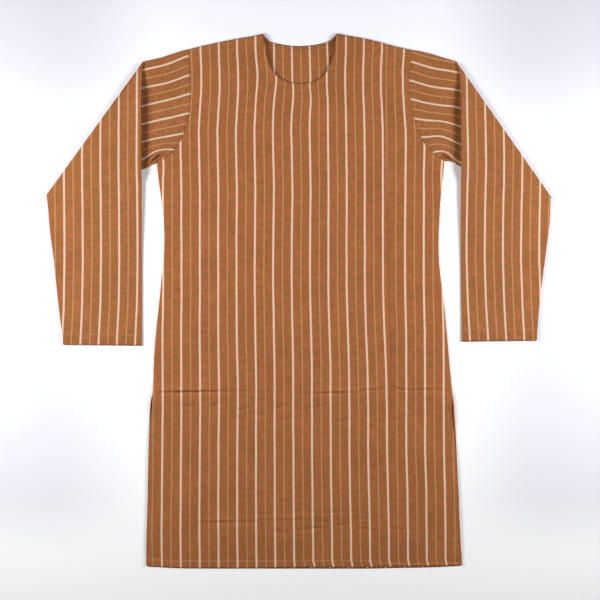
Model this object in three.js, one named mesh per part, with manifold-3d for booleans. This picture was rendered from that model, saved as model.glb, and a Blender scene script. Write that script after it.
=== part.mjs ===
// A straight long tunic of striped handloom cotton, laid flat on its back with both sleeves
// folded forward. Millimetres, +X to the right of the laid garment, +Y towards the neck, +Z up.
// The origin is at the middle of the garment's box, on the surface that it lies on.
import * as THREE from "three";
import { mergeVertices } from "three/addons/utils/BufferGeometryUtils.js";
import Module from "manifold-3d";

const wasm = await Module();
wasm.setup();

// Driving sizes
const CLOTH = 1.2; // wall of one layer
const SEAM_GAP = 0.3; // between pieces that a seam joins, and between laid layers
const SLEEVE_HOLLOW = 0.3; // air inside a flattened sleeve
const FOLD_AIR = 0.6; // air between a sleeve's cap and the part folded over it
const FOLD_LIFT = 3.2; // how far a folded sleeve's inner edge springs up
const LIFT_REACH = 34; // how far that spring reaches across the sleeve
const FOLD_SETTLE = 40; // length over which the spring grows away from the fold
const DROP_LENGTH = 26; // ramp from the cap down to the surface
const HEM_DEPTH = 15; // turned hem of the skirt
const CUFF_DEPTH = 20; // turned hem of a sleeve
const HEM_RISE = 0.5; // a hem, turned to the inside, is this much thicker
const HEM_STEP = 2; // the rise comes over this length
const FACING_WIDTH = 8; // narrow facing inside the back neck
const FACING_INSET = 1.5; // it lies this far inside the neck edge
const FACING_CLOTH = 1;
const ARMHOLE_SPARE = 3; // a sleeve is drawn this far into the body, then cut along the armhole

const SLEEVE_STACK = 2 * CLOTH + SLEEVE_HOLLOW; // a flattened sleeve
const FRONT_BASE = CLOTH + SEAM_GAP; // underside of the front where it lies on the back
const FOLD_AXIS = SLEEVE_STACK + FOLD_AIR / 2; // height of the line that a sleeve turns about
const FOLD_RADIUS = FOLD_AXIS - SLEEVE_STACK / 2;

// Mesh steps
const SIDE_STEPS = 26;
const ARMHOLE_STEPS = 14;
const SHOULDER_STEPS = 5;
const NECK_STEPS = 20;
const SEAM_STEPS = 12;
const GRID_STEP = 46;
const CAP_RINGS = 7;
const FOLD_RINGS = 6;
const LOWER_RINGS = 12;
const FACE_STEPS = 8;
const EDGE_STEPS = 4;

// A rectangle that the body's panels are cut from.
const PANEL = { left: -330, right: 330, bottom: -530, top: 530 };

// The half outlines, from underarm to hem and from neck to underarm. The garment was laid by
// hand, so its left and right sides differ by some millimetres.
const SIDE_SEAMS = [
  { y: 268, left: -276.5, right: 283.5 },
  { y: 228.5, left: -272, right: 279.4 },
  { y: 194.8, left: -267.1, right: 276.2 },
  { y: 157.8, left: -263.4, right: 274.2 },
  { y: 120.7, left: -261.7, right: 272.5 },
  { y: 83.7, left: -263.4, right: 273 },
  { y: 45.8, left: -267.1, right: 276.6 },
  { y: 3.7, left: -271.2, right: 282 },
  { y: -65.3, left: -278.5, right: 288.8 },
  { y: -117.2, left: -282.2, right: 293.2 },
  { y: -173.7, left: -284.5, right: 298.6 },
  { y: -192.7, left: -288, right: 301.9 },
  { y: -210.8, left: -290, right: 303.4 },
  { y: -240, left: -291.3, right: 305.3 },
  { y: -290.7, left: -292.9, right: 307.6 },
  { y: -388.2, left: -294.8, right: 312.4 },
  { y: -466.2, left: -297, right: 316 },
  { y: -515, left: -297.4, right: 318.4 },
];
// Below the tops of the slits the front's edge lies a little inside the back's.
const SLIT_SETBACK = [
  { y: -178, left: 0, right: 0 },
  { y: -192, left: 2.6, right: 3.4 },
  { y: -212, left: 3, right: 5.2 },
  { y: -246, left: 1.2, right: 5 },
  { y: -290, left: 0.6, right: 2 },
  { y: -340, left: 0.6, right: 0.6 },
  { y: -515, left: 0.6, right: 0.6 },
];
const HEM_EDGE = -521.5; // lowest point of the skirt
const HEM_LINE = [
  { x: -297.4, y: -515 },
  { x: -293, y: -517.3 },
  { x: -269.3, y: -518.9 },
  { x: -210, y: -521.2 },
  { x: 2.5, y: -521.5 },
  { x: 129.3, y: -521.5 },
  { x: 178, y: -520.6 },
  { x: 263.8, y: -518.9 },
  { x: 313, y: -516 },
  { x: 318.4, y: -513.5 },
];
const LEFT_ARMHOLE = [
  { x: -212.5, y: 490.6 },
  { x: -214.1, y: 476 },
  { x: -212.5, y: 443.2 },
  { x: -210.4, y: 405.8 },
  { x: -213.3, y: 367 },
  { x: -223.7, y: 326.8 },
  { x: -239.5, y: 297.4 },
  { x: -255.8, y: 281.6 },
  { x: -276.5, y: 268 },
];
const RIGHT_ARMHOLE = [
  { x: 218.5, y: 489.3 },
  { x: 218.6, y: 467 },
  { x: 214.7, y: 431.5 },
  { x: 217.2, y: 394.7 },
  { x: 224.6, y: 357.4 },
  { x: 238.1, y: 319.4 },
  { x: 263.1, y: 286.8 },
  { x: 283.5, y: 273 },
];
const LEFT_SHOULDER = [
  { x: -70.4, y: 521.2 },
  { x: -84.4, y: 516.6 },
  { x: -120.1, y: 510.9 },
  { x: -155.4, y: 503.9 },
  { x: -188.6, y: 496.7 },
  { x: -212.5, y: 490.6 },
];
const RIGHT_SHOULDER = [
  { x: 74.7, y: 521.5 },
  { x: 92, y: 517.5 },
  { x: 126.2, y: 511.7 },
  { x: 159.5, y: 503.9 },
  { x: 181.5, y: 497.8 },
  { x: 218.5, y: 489.3 },
];
const BACK_NECK = [
  { x: 74.7, y: 521.5 },
  { x: 64.5, y: 510.7 },
  { x: 49.7, y: 503.3 },
  { x: 19.9, y: 497.8 },
  { x: -13.1, y: 497.2 },
  { x: -47.4, y: 503.3 },
  { x: -59.3, y: 508.8 },
  { x: -70.4, y: 521.2 },
];
const FRONT_NECK = [
  { x: 74.7, y: 521.5 },
  { x: 70.6, y: 488.1 },
  { x: 66.1, y: 468.6 },
  { x: 54.2, y: 445.6 },
  { x: 40.8, y: 432.1 },
  { x: 19.9, y: 424.7 },
  { x: -9.9, y: 424.1 },
  { x: -35.3, y: 432.5 },
  { x: -51.9, y: 449.3 },
  { x: -63, y: 477.6 },
  { x: -66.7, y: 495.5 },
  { x: -70.4, y: 521.2 },
];
// The front is joined from two widths of cloth along this line.
const PIECING_SEAM = [
  { x: 170.2, y: 530 },
  { x: 168.4, y: 434.7 },
  { x: 171.2, y: 235.8 },
  { x: 176.5, y: -23.6 },
  { x: 178.4, y: -128.9 },
  { x: 180, y: -530 },
];

// Soft folds of the laid front: where each lies, its half length and half width, how far its
// length is turned from the X axis, and its height.
const FRONT_FOLDS = [
  { x: 0, y: 440, long: 130, wide: 90, turn: 0, height: 2.4 }, // lifted neck edge
  { x: -110, y: 330, long: 150, wide: 60, turn: 62, height: 2.2 }, // left chest
  { x: 130, y: 320, long: 140, wide: 60, turn: -58, height: 2 }, // right chest
  { x: -40, y: 150, long: 220, wide: 90, turn: 84, height: 1.8 }, // slack of the waist
  { x: 110, y: 60, long: 200, wide: 80, turn: -80, height: 1.4 },
  { x: -150, y: -173, long: 130, wide: 34, turn: 2, height: 1.6 }, // storage crease
  { x: 120, y: -178, long: 170, wide: 34, turn: 3, height: 1.1 },
  { x: -20, y: -330, long: 230, wide: 100, turn: 78, height: 1.6 }, // slack of the skirt
];
const FOLD_FADE = 70; // folds die out over this distance from a seam
const SHOULDER_FLAT = 20; // and lie flat this far below the highest point

// Each sleeve as it lies: the fold line across it, the two edges of the cap, and the two edges
// of the part that is folded over, from the fold to the cuff.
const LEFT_SLEEVE = {
  name: "sleeve_left",
  outward: -1,
  armhole: LEFT_ARMHOLE,
  foldTop: { x: -303.4, y: 461.8 },
  foldBottom: { x: -490.4, y: 203.2 },
  capTop: [
    { x: -212.5, y: 490.6 },
    { x: -224.4, y: 488.4 },
    { x: -245.3, y: 482 },
    { x: -263.2, y: 476 },
    { x: -281.2, y: 471.5 },
    { x: -303.4, y: 467 },
  ],
  capUnder: [
    { x: -276.5, y: 268 },
    { x: -288, y: 264.5 },
    { x: -306.5, y: 255.3 },
    { x: -400, y: 228 },
    { x: -490.4, y: 203.2 },
  ],
  innerEdge: [
    { x: -303.4, y: 461.8 },
    { x: -305.6, y: 400 },
    { x: -305.6, y: -87 },
  ],
  outerEdge: [
    { x: -490.4, y: 203.2 },
    { x: -484.8, y: 135.3 },
    { x: -477.9, y: 83.1 },
    { x: -470.5, y: 12.3 },
    { x: -459.2, y: -85 },
  ],
};
const RIGHT_SLEEVE = {
  name: "sleeve_right",
  outward: 1,
  armhole: RIGHT_ARMHOLE,
  foldTop: { x: 307, y: 461.6 },
  foldBottom: { x: 490.4, y: 199.8 },
  capTop: [
    { x: 218.5, y: 489.3 },
    { x: 234.4, y: 487.2 },
    { x: 256.8, y: 482 },
    { x: 279, y: 475.2 },
    { x: 307, y: 467 },
  ],
  capUnder: [
    { x: 283.5, y: 273 },
    { x: 303.6, y: 269.6 },
    { x: 316.5, y: 261.5 },
    { x: 400, y: 230 },
    { x: 490.4, y: 199.8 },
  ],
  innerEdge: [
    { x: 307, y: 461.6 },
    { x: 314.1, y: 430 },
    { x: 315.6, y: 265 },
    { x: 315.6, y: 99.3 },
    { x: 317.7, y: -79 },
  ],
  outerEdge: [
    { x: 490.4, y: 199.8 },
    { x: 489.5, y: 157.8 },
    { x: 483.8, y: 109.2 },
    { x: 470.5, y: 3.7 },
    { x: 464.1, y: -77 },
  ],
};

const CLOTH_LOOKS = { roughness: 0.88, metalness: 0 };
const CLOTH_COLOURS = {
  body: "#a96b42",
  side: "#a4673c",
  sleeve: "#ae7648",
  facing: "#9a6034",
};

function smooth(value) {
  const t = Math.min(1, Math.max(0, value));
  return t * t * (3 - 2 * t);
}

function mix(a, b, t) {
  return a + (b - a) * t;
}

// A smooth curve through the rows of a table with x and y columns.
function curve(rows) {
  return new THREE.SplineCurve(rows.map((row) => new THREE.Vector2(row.x, row.y)));
}

// The value of one column of a table at a height y, between its nearest rows.
function columnAt(rows, column, y) {
  if (y >= rows[0].y) return rows[0][column];
  for (let i = 1; i < rows.length; i += 1) {
    if (y >= rows[i].y) {
      const t = (rows[i - 1].y - y) / (rows[i - 1].y - rows[i].y);
      return mix(rows[i - 1][column], rows[i][column], t);
    }
  }
  return rows[rows.length - 1][column];
}

// One side of the skirt from underarm to hem, drawn in by a table of setbacks.
function sideCurve(column, outward, setbacks) {
  const rows = SIDE_SEAMS.map((row) => {
    const setback = setbacks ? columnAt(setbacks, column, row.y) : 0;
    return { x: row[column] - outward * setback, y: row.y };
  });
  return curve(rows).getPoints(SIDE_STEPS);
}

// Closed outline of a body panel, run counterclockwise from the bottom left corner.
function bodyOutline(neck, setbacks) {
  const leftSide = sideCurve("left", -1, setbacks);
  const rightSide = sideCurve("right", 1, setbacks).reverse();
  const first = rightSide[0];
  const last = leftSide[leftSide.length - 1];
  const hem = HEM_LINE.filter((row) => row.x > last.x + 1 && row.x < first.x - 1);
  const stretches = [
    hem.map((row) => new THREE.Vector2(row.x, row.y)),
    rightSide,
    curve(RIGHT_ARMHOLE).getPoints(ARMHOLE_STEPS).reverse(),
    curve(RIGHT_SHOULDER).getPoints(SHOULDER_STEPS).reverse(),
    curve(neck).getPoints(NECK_STEPS),
    curve(LEFT_SHOULDER).getPoints(SHOULDER_STEPS),
    curve(LEFT_ARMHOLE).getPoints(ARMHOLE_STEPS),
    leftSide,
  ];
  const points = stretches.flat();
  return points.filter((point, i) => {
    const next = points[(i + 1) % points.length];
    return point.distanceTo(next) > SEAM_GAP;
  });
}

function toSolid(geometry) {
  const bare = geometry.index ? geometry.toNonIndexed() : geometry.clone();
  bare.deleteAttribute("normal");
  bare.deleteAttribute("uv");
  const merged = mergeVertices(bare, 1e-4);
  return new wasm.Manifold(
    new wasm.Mesh({
      numProp: 3,
      vertProperties: merged.attributes.position.array,
      triVerts: new Uint32Array(merged.index.array),
    }),
  );
}

function toGeometry(solid) {
  const made = solid.getMesh();
  const geometry = new THREE.BufferGeometry();
  geometry.setAttribute("position", new THREE.BufferAttribute(made.vertProperties, 3));
  geometry.setIndex(new THREE.BufferAttribute(made.triVerts, 1));
  geometry.computeVertexNormals();
  return geometry;
}

// A closed prism over an outline, tall enough to cut any layer.
const CUTTER_HEIGHT = 40;
function cutter(points) {
  const geometry = new THREE.ExtrudeGeometry(new THREE.Shape(points), {
    depth: CUTTER_HEIGHT,
    bevelEnabled: false,
  });
  geometry.translate(0, 0, -CUTTER_HEIGHT / 2);
  return toSolid(geometry);
}

// A closed slab between two height functions over a grid of lines in x and y.
function slab(xs, ys, lower, upper) {
  const positions = [];
  const triangles = [];
  const across = xs.length;
  const perFace = across * ys.length;
  for (const height of [upper, lower]) {
    for (const y of ys) {
      for (const x of xs) positions.push(x, y, height(x, y));
    }
  }
  const quad = (a, b, c, d) => triangles.push(a, b, c, a, c, d);
  for (let j = 0; j + 1 < ys.length; j += 1) {
    for (let i = 0; i + 1 < across; i += 1) {
      const a = j * across + i;
      quad(a, a + 1, a + across + 1, a + across);
      const b = a + perFace;
      quad(b, b + across, b + across + 1, b + 1);
    }
  }
  const rim = [];
  for (let i = 0; i < across; i += 1) rim.push(i);
  for (let j = 1; j < ys.length; j += 1) rim.push(j * across + across - 1);
  for (let i = across - 2; i >= 0; i -= 1) rim.push((ys.length - 1) * across + i);
  for (let j = ys.length - 2; j > 0; j -= 1) rim.push(j * across);
  rim.forEach((a, k) => {
    const b = rim[(k + 1) % rim.length];
    quad(a, a + perFace, b + perFace, b);
  });
  const geometry = new THREE.BufferGeometry();
  geometry.setAttribute("position", new THREE.Float32BufferAttribute(positions, 3));
  geometry.setIndex(triangles);
  return toSolid(geometry);
}

function gridLines(from, to, extra = []) {
  const count = Math.ceil((to - from) / GRID_STEP);
  const lines = Array.from({ length: count + 1 }, (_, i) => mix(from, to, i / count));
  return [...lines, ...extra].sort((a, b) => a - b);
}

// How far a point of the body lies from the nearest side seam or armhole.
function fromSides(x, y) {
  const underarm = SIDE_SEAMS[0].y;
  const left = y < underarm ? columnAt(SIDE_SEAMS, "left", y) : columnAt(LEFT_ARMHOLE, "x", y);
  const right = y < underarm ? columnAt(SIDE_SEAMS, "right", y) : columnAt(RIGHT_ARMHOLE, "x", y);
  return Math.min(x - left, right - x);
}

function foldHeight(x, y) {
  let height = 0;
  for (const fold of FRONT_FOLDS) {
    const turn = THREE.MathUtils.degToRad(fold.turn);
    const dx = x - fold.x;
    const dy = y - fold.y;
    const along = (dx * Math.cos(turn) + dy * Math.sin(turn)) / fold.long;
    const across = (dy * Math.cos(turn) - dx * Math.sin(turn)) / fold.wide;
    height += fold.height * Math.exp(-(along * along + across * across));
  }
  const shoulderFade = smooth((PANEL.top - SHOULDER_FLAT - y) / FOLD_FADE);
  const hemFade = smooth((y - HEM_EDGE - HEM_DEPTH) / FOLD_FADE);
  return height * smooth(fromSides(x, y) / FOLD_FADE) * Math.min(shoulderFade, hemFade);
}

function hemRise(y) {
  return HEM_RISE * smooth((HEM_EDGE + HEM_DEPTH - y) / HEM_STEP);
}

const HEM_LINES = [HEM_EDGE + HEM_DEPTH, HEM_EDGE + HEM_DEPTH - HEM_STEP];

function makeBack() {
  const outline = cutter(bodyOutline(BACK_NECK, null));
  const xs = [PANEL.left, PANEL.right];
  const ys = [PANEL.bottom, ...HEM_LINES.toReversed(), PANEL.top];
  const upper = (x, y) => CLOTH + hemRise(y);
  return slab(xs, ys, () => 0, upper).intersect(outline);
}

function makeWholeFront() {
  const outline = cutter(bodyOutline(FRONT_NECK, SLIT_SETBACK));
  const xs = gridLines(PANEL.left, PANEL.right);
  const ys = gridLines(PANEL.bottom, PANEL.top, HEM_LINES);
  const lower = (x, y) => FRONT_BASE + hemRise(y) + foldHeight(x, y);
  const upper = (x, y) => lower(x, y) + CLOTH + hemRise(y);
  return slab(xs, ys, lower, upper).intersect(outline);
}

// The part of the front on one side of the piecing seam.
function seamSide(outward) {
  const seam = curve(PIECING_SEAM).getPoints(SEAM_STEPS);
  const points = seam.map((p) => new THREE.Vector2(p.x + (outward * SEAM_GAP) / 2, p.y));
  const far = outward > 0 ? PANEL.right : PANEL.left;
  points.push(new THREE.Vector2(far, PANEL.bottom - 1), new THREE.Vector2(far, PANEL.top + 1));
  return cutter(outward > 0 ? points.reverse() : points);
}

// Narrow facing that shows inside the back neck, between the two edges of the front neck.
function makeFacing() {
  const edge = curve(BACK_NECK).getPoints(NECK_STEPS);
  const top = edge.map((p) => new THREE.Vector2(p.x, p.y - FACING_INSET));
  const bottom = edge.map((p) => new THREE.Vector2(p.x, p.y - FACING_INSET - FACING_WIDTH));
  const band = cutter([...top, ...bottom.reverse()]);
  const opening = curve(FRONT_NECK).getPoints(NECK_STEPS);
  const shrink = 1 - (2 * SEAM_GAP) / FRONT_NECK[0].x;
  const clear = cutter(opening.map((p) => new THREE.Vector2(p.x * shrink, p.y)));
  const xs = [PANEL.left, PANEL.right];
  const ys = [0, PANEL.top];
  const base = CLOTH + SEAM_GAP;
  return slab(xs, ys, () => base, () => base + FACING_CLOTH).intersect(band).intersect(clear);
}

// The unit vector along a sleeve's fold line and the one that points away from the body.
function foldFrame(sleeve) {
  const along = new THREE.Vector2(
    sleeve.foldBottom.x - sleeve.foldTop.x,
    sleeve.foldBottom.y - sleeve.foldTop.y,
  ).normalize();
  const normal = new THREE.Vector2(sleeve.outward * -along.y, sleeve.outward * along.x);
  return { along, normal };
}

// Where a point of the folded part lay before the fold.
function unfold(sleeve, point) {
  const { normal } = foldFrame(sleeve);
  const start = new THREE.Vector2().copy(sleeve.foldTop);
  const inside = -point.clone().sub(start).dot(normal);
  return point.clone().addScaledVector(normal, 2 * inside + Math.PI * FOLD_RADIUS);
}

// The rings of a sleeve before it is folded: their two edges, how much of the armhole's curve
// each keeps, and whether it lies in the cuff's hem.
function sleeveRings(sleeve) {
  const rings = [];
  const { normal } = foldFrame(sleeve);
  const capTop = curve(sleeve.capTop);
  const capUnder = curve(sleeve.capUnder);
  for (let i = 0; i <= CAP_RINGS; i += 1) {
    const t = i / CAP_RINGS;
    const top = i < CAP_RINGS ? capTop.getPoint(t) : new THREE.Vector2().copy(sleeve.foldTop);
    rings.push({ top, under: capUnder.getPoint(t), armhole: (1 - t) ** 2, hem: 0 });
  }
  for (let i = 1; i <= FOLD_RINGS; i += 1) {
    const reach = (Math.PI * FOLD_RADIUS * i) / FOLD_RINGS;
    const top = new THREE.Vector2().copy(sleeve.foldTop).addScaledVector(normal, reach);
    const under = new THREE.Vector2().copy(sleeve.foldBottom).addScaledVector(normal, reach);
    rings.push({ top, under, armhole: 0, hem: 0 });
  }
  const inner = curve(sleeve.innerEdge);
  const outer = curve(sleeve.outerEdge);
  const hemStart = 1 - CUFF_DEPTH / inner.getLength();
  const hemFull = 1 - (CUFF_DEPTH - HEM_STEP) / inner.getLength();
  const steps = Array.from({ length: LOWER_RINGS }, (_, i) => (hemStart * (i + 1)) / LOWER_RINGS);
  for (const t of [...steps, hemFull, 1]) {
    const top = unfold(sleeve, inner.getPointAt(t));
    const under = unfold(sleeve, outer.getPointAt(t));
    rings.push({ top, under, armhole: 0, hem: t > hemStart ? 1 : 0 });
  }
  return rings;
}

// The closed section of a flattened sleeve at one ring. Each point has a place across the ring
// (0 at its top edge, 1 at its under edge), a bulge past that edge, and a height.
function sectionPoints(wall, rise) {
  const radius = SLEEVE_STACK / 2 - wall;
  const points = [];
  for (let i = 0; i <= FACE_STEPS; i += 1) {
    points.push({ place: i / FACE_STEPS, out: 0, z: SLEEVE_STACK - wall });
  }
  for (let i = 1; i < EDGE_STEPS; i += 1) {
    const angle = Math.PI / 2 - (Math.PI * i) / EDGE_STEPS;
    const z = SLEEVE_STACK / 2 + radius * Math.sin(angle);
    points.push({ place: 1, out: radius * Math.cos(angle), z });
  }
  for (let i = FACE_STEPS; i >= 0; i -= 1) {
    points.push({ place: i / FACE_STEPS, out: 0, z: wall - rise });
  }
  for (let i = EDGE_STEPS - 1; i > 0; i -= 1) {
    const angle = Math.PI / 2 - (Math.PI * i) / EDGE_STEPS;
    const z = SLEEVE_STACK / 2 + radius * Math.sin(angle);
    points.push({ place: 0, out: -radius * Math.cos(angle), z });
  }
  return points;
}

// The plan point of a ring at a place across it, before the fold.
function ringPoint(sleeve, ring, section, insets) {
  const width = ring.top.distanceTo(ring.under);
  const place = mix(insets.top, width - insets.under, section.place) / width;
  const edge = section.place < 0.5 ? insets.top : insets.under;
  const across = place + (section.out * edge) / (SLEEVE_STACK / 2) / width;
  const point = ring.top.clone().lerp(ring.under, across);
  if (ring.armhole > 0) {
    const rows = sleeve.armhole;
    const straight = new THREE.Vector2(rows[0].x, rows[0].y).lerp(
      new THREE.Vector2(rows[rows.length - 1].x, rows[rows.length - 1].y),
      across,
    );
    const curved = curve(rows).getPoint(Math.min(1, Math.max(0, across)));
    point.addScaledVector(curved.sub(straight), ring.armhole);
    point.x -= sleeve.outward * ARMHOLE_SPARE * ring.armhole;
  }
  return point;
}

const LEAST_SLANT = 0.5; // sine of the sharpest crossing that is allowed for

// How much wider the section's edge is along a ring that crosses the sleeve at a slant.
function edgeInset(rings, index, edge) {
  const before = rings[Math.max(0, index - 1)];
  const after = rings[Math.min(rings.length - 1, index + 1)];
  const run = after[edge].clone().sub(before[edge]).normalize();
  const ring = rings[index];
  const across = ring.under.clone().sub(ring.top).normalize();
  const slant = Math.abs(run.cross(across));
  return SLEEVE_STACK / 2 / Math.max(LEAST_SLANT, slant);
}

// How much of the folded part's height a laid point keeps: 1 over the cap, 0 on the surface.
function onCap(sleeve, laid) {
  const end = new THREE.Vector2().copy(sleeve.foldBottom);
  const row = sleeve.capUnder[sleeve.capUnder.length - 2];
  const under = new THREE.Vector2(row.x, row.y).sub(end).normalize();
  const below = sleeve.outward * -laid.clone().sub(end).cross(under);
  return 1 - smooth(below / DROP_LENGTH);
}

// How far a laid point is lifted by the spring of the inner edge, away from the fold line.
function springHeight(sleeve, laid, beyond) {
  const { along } = foldFrame(sleeve);
  const start = new THREE.Vector2().copy(sleeve.foldTop);
  const fromInner = Math.max(0, sleeve.outward * (laid.x - sleeve.innerEdge[1].x));
  const fromTop = Math.abs(laid.clone().sub(start).dot(along));
  const settled = smooth(fromTop / FOLD_SETTLE) * smooth(beyond / FOLD_SETTLE);
  return FOLD_LIFT * Math.exp(-fromInner / LIFT_REACH) * settled;
}

// Folds a point of the flat sleeve over the fold line and lays it down again.
function foldOver(sleeve, plan, z) {
  const { normal } = foldFrame(sleeve);
  const past = plan.clone().sub(new THREE.Vector2().copy(sleeve.foldTop)).dot(normal);
  if (past <= 0) return new THREE.Vector3(plan.x, plan.y, z);
  const angle = Math.min(Math.PI, past / FOLD_RADIUS);
  const radius = FOLD_AXIS - z;
  const beyond = Math.max(0, past - Math.PI * FOLD_RADIUS);
  const laid = plan.clone().addScaledVector(normal, radius * Math.sin(angle) - beyond - past);
  const folded = FOLD_AXIS - radius * Math.cos(angle);
  if (beyond === 0) return new THREE.Vector3(laid.x, laid.y, folded);
  const kept = onCap(sleeve, laid);
  const drop = (SLEEVE_STACK + FOLD_AIR) * (1 - kept);
  const spring = springHeight(sleeve, laid, beyond) * kept;
  return new THREE.Vector3(laid.x, laid.y, folded - drop + spring);
}

// Everything on the body's side of a sleeve's seam, with the seam's gap added.
function bodySide(sleeve) {
  const side = sleeve.outward > 0 ? "right" : "left";
  const armhole = curve(sleeve.armhole).getPoints(ARMHOLE_STEPS);
  const below = SIDE_SEAMS.slice(1).map((row) => new THREE.Vector2(row[side], row.y));
  const gap = sleeve.outward * SEAM_GAP * Math.SQRT2;
  const edge = [...armhole, ...below].map((p) => new THREE.Vector2(p.x + gap, p.y));
  const above = new THREE.Vector2(edge[0].x, PANEL.top);
  const corners = [new THREE.Vector2(0, PANEL.bottom), new THREE.Vector2(0, PANEL.top)];
  const points = [above, ...edge, ...corners];
  return cutter(sleeve.outward > 0 ? points.reverse() : points);
}

// Triangles of an open-ended tube wall whose rings each hold an outer and an inner section.
function tubeTriangles(ringCount, perWall, mirrored) {
  const triangles = [];
  const at = (ring, wall, k) => (ring * 2 + wall) * perWall + (k % perWall);
  const quad = (a, b, c, d) => {
    if (mirrored) triangles.push(a, c, b, a, d, c);
    else triangles.push(a, b, c, a, c, d);
  };
  const end = ringCount - 1;
  for (let k = 0; k < perWall; k += 1) {
    for (let r = 0; r < end; r += 1) {
      quad(at(r, 0, k), at(r, 0, k + 1), at(r + 1, 0, k + 1), at(r + 1, 0, k));
      quad(at(r, 1, k), at(r + 1, 1, k), at(r + 1, 1, k + 1), at(r, 1, k + 1));
    }
    quad(at(0, 0, k), at(0, 1, k), at(0, 1, k + 1), at(0, 0, k + 1));
    quad(at(end, 0, k), at(end, 0, k + 1), at(end, 1, k + 1), at(end, 1, k));
  }
  return triangles;
}

function makeSleeve(sleeve) {
  const rings = sleeveRings(sleeve);
  const positions = [];
  const perWall = sectionPoints(0, 0).length;
  rings.forEach((ring, index) => {
    const insets = {
      top: edgeInset(rings, index, "top"),
      under: edgeInset(rings, index, "under"),
    };
    for (const wall of [0, CLOTH]) {
      const rise = wall === 0 ? HEM_RISE * ring.hem : 0;
      for (const section of sectionPoints(wall, rise)) {
        const plan = ringPoint(sleeve, ring, section, insets);
        const laid = foldOver(sleeve, plan, section.z);
        positions.push(laid.x, laid.y, laid.z);
      }
    }
  });
  const triangles = tubeTriangles(rings.length, perWall, sleeve.outward < 0);
  const geometry = new THREE.BufferGeometry();
  geometry.setAttribute("position", new THREE.Float32BufferAttribute(positions, 3));
  geometry.setIndex(triangles);
  return toSolid(geometry).subtract(bodySide(sleeve));
}

const tunic = new THREE.Group();
tunic.name = "tunic";

function add(name, solid, colour) {
  const material = new THREE.MeshStandardMaterial({ color: colour, ...CLOTH_LOOKS });
  const mesh = new THREE.Mesh(toGeometry(solid), material);
  mesh.name = name;
  tunic.add(mesh);
}

const wholeFront = makeWholeFront();
add("back_panel", makeBack(), CLOTH_COLOURS.body);
add("front_panel", wholeFront.intersect(seamSide(-1)), CLOTH_COLOURS.body);
add("front_side_panel", wholeFront.intersect(seamSide(1)), CLOTH_COLOURS.side);
add("back_neck_facing", makeFacing(), CLOTH_COLOURS.facing);
for (const sleeve of [LEFT_SLEEVE, RIGHT_SLEEVE]) {
  add(sleeve.name, makeSleeve(sleeve), CLOTH_COLOURS.sleeve);
}

export default tunic;
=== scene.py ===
"""A straight long tunic of striped handloom cotton, laid flat with both sleeves folded forward."""

import math

import bpy
import numpy as np
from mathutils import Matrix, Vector


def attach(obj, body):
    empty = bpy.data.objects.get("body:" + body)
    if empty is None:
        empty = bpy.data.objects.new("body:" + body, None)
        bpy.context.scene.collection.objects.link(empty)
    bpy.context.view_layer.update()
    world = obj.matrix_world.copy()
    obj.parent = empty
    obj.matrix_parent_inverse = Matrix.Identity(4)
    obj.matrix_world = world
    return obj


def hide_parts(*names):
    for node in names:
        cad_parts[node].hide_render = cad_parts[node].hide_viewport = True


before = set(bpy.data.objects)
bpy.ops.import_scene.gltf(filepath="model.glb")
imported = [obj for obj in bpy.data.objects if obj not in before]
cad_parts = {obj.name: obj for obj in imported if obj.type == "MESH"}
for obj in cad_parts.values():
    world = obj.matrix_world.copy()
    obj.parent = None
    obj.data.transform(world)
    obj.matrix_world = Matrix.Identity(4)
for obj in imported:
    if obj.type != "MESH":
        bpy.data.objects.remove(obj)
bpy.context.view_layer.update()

# Sizes are in millimetres, in the part's frame, and every mesh is made in metres.
MM = 0.001
CLOTH = 1.2  # one layer's wall in the part
SEAM_GAP = 0.3
SHOWN_WALL = 0.8  # one layer's wall as shown
SEAM_SHOWN = 0.1  # the pieces are sewn nearly edge to edge
SLEEVE_STACK = 2 * CLOTH + SEAM_GAP
FOLD_AIR = 0.6
FOLD_AXIS = SLEEVE_STACK + FOLD_AIR / 2
FOLD_RADIUS = FOLD_AXIS - SLEEVE_STACK / 2
FOLD_LIFT = 3.2
LIFT_REACH = 34
FOLD_SETTLE = 40
CREASE_SETTLE = 20
DROP_LENGTH = 26
FRONT_TOP = 2 * CLOTH + SEAM_GAP  # upper face of the front where it lies flat
BACK_TOP = 1.0
CUFF_DEPTH = 20
HEM_RISE = 0.5
HEM_STEP = 2.2
STRIPE_REPEAT = 36

UNDERARM = 270  # height at which the sides turn into the armholes

# The outlines are those of the part. Lists of points without named columns are x, y.
SIDE_SEAMS = [  # y, left, right
    (268, -276.5, 283.5),
    (228.5, -272, 279.4),
    (194.8, -267.1, 276.2),
    (157.8, -263.4, 274.2),
    (120.7, -261.7, 272.5),
    (83.7, -263.4, 273),
    (45.8, -267.1, 276.6),
    (3.7, -271.2, 282),
    (-65.3, -278.5, 288.8),
    (-117.2, -282.2, 293.2),
    (-173.7, -284.5, 298.6),
    (-192.7, -288, 301.9),
    (-210.8, -290, 303.4),
    (-240, -291.3, 305.3),
    (-290.7, -292.9, 307.6),
    (-388.2, -294.8, 312.4),
    (-466.2, -297, 316),
    (-515, -297.4, 318.4),
]
SLIT_SETBACK = [  # y, left, right
    (-178, 0, 0),
    (-192, 3.4, 3.4),
    (-212, 3.8, 5.4),
    (-246, 1.4, 5),
    (-290, 0.6, 2),
    (-340, 0.6, 0.6),
]
HEM_LINE = [
    (-297.4, -515), (-293, -517.3), (-269.3, -518.9), (-210, -521.2), (2.5, -521.5),
    (129.3, -521.5), (178, -520.6), (263.8, -518.9), (313, -516), (318.4, -513.5),
]
LEFT_ARMHOLE = [
    (-212.5, 490.6), (-214.1, 476), (-212.5, 443.2), (-210.4, 405.8), (-213.3, 367),
    (-223.7, 326.8), (-239.5, 297.4), (-255.8, 281.6), (-276.5, 268),
]
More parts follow.
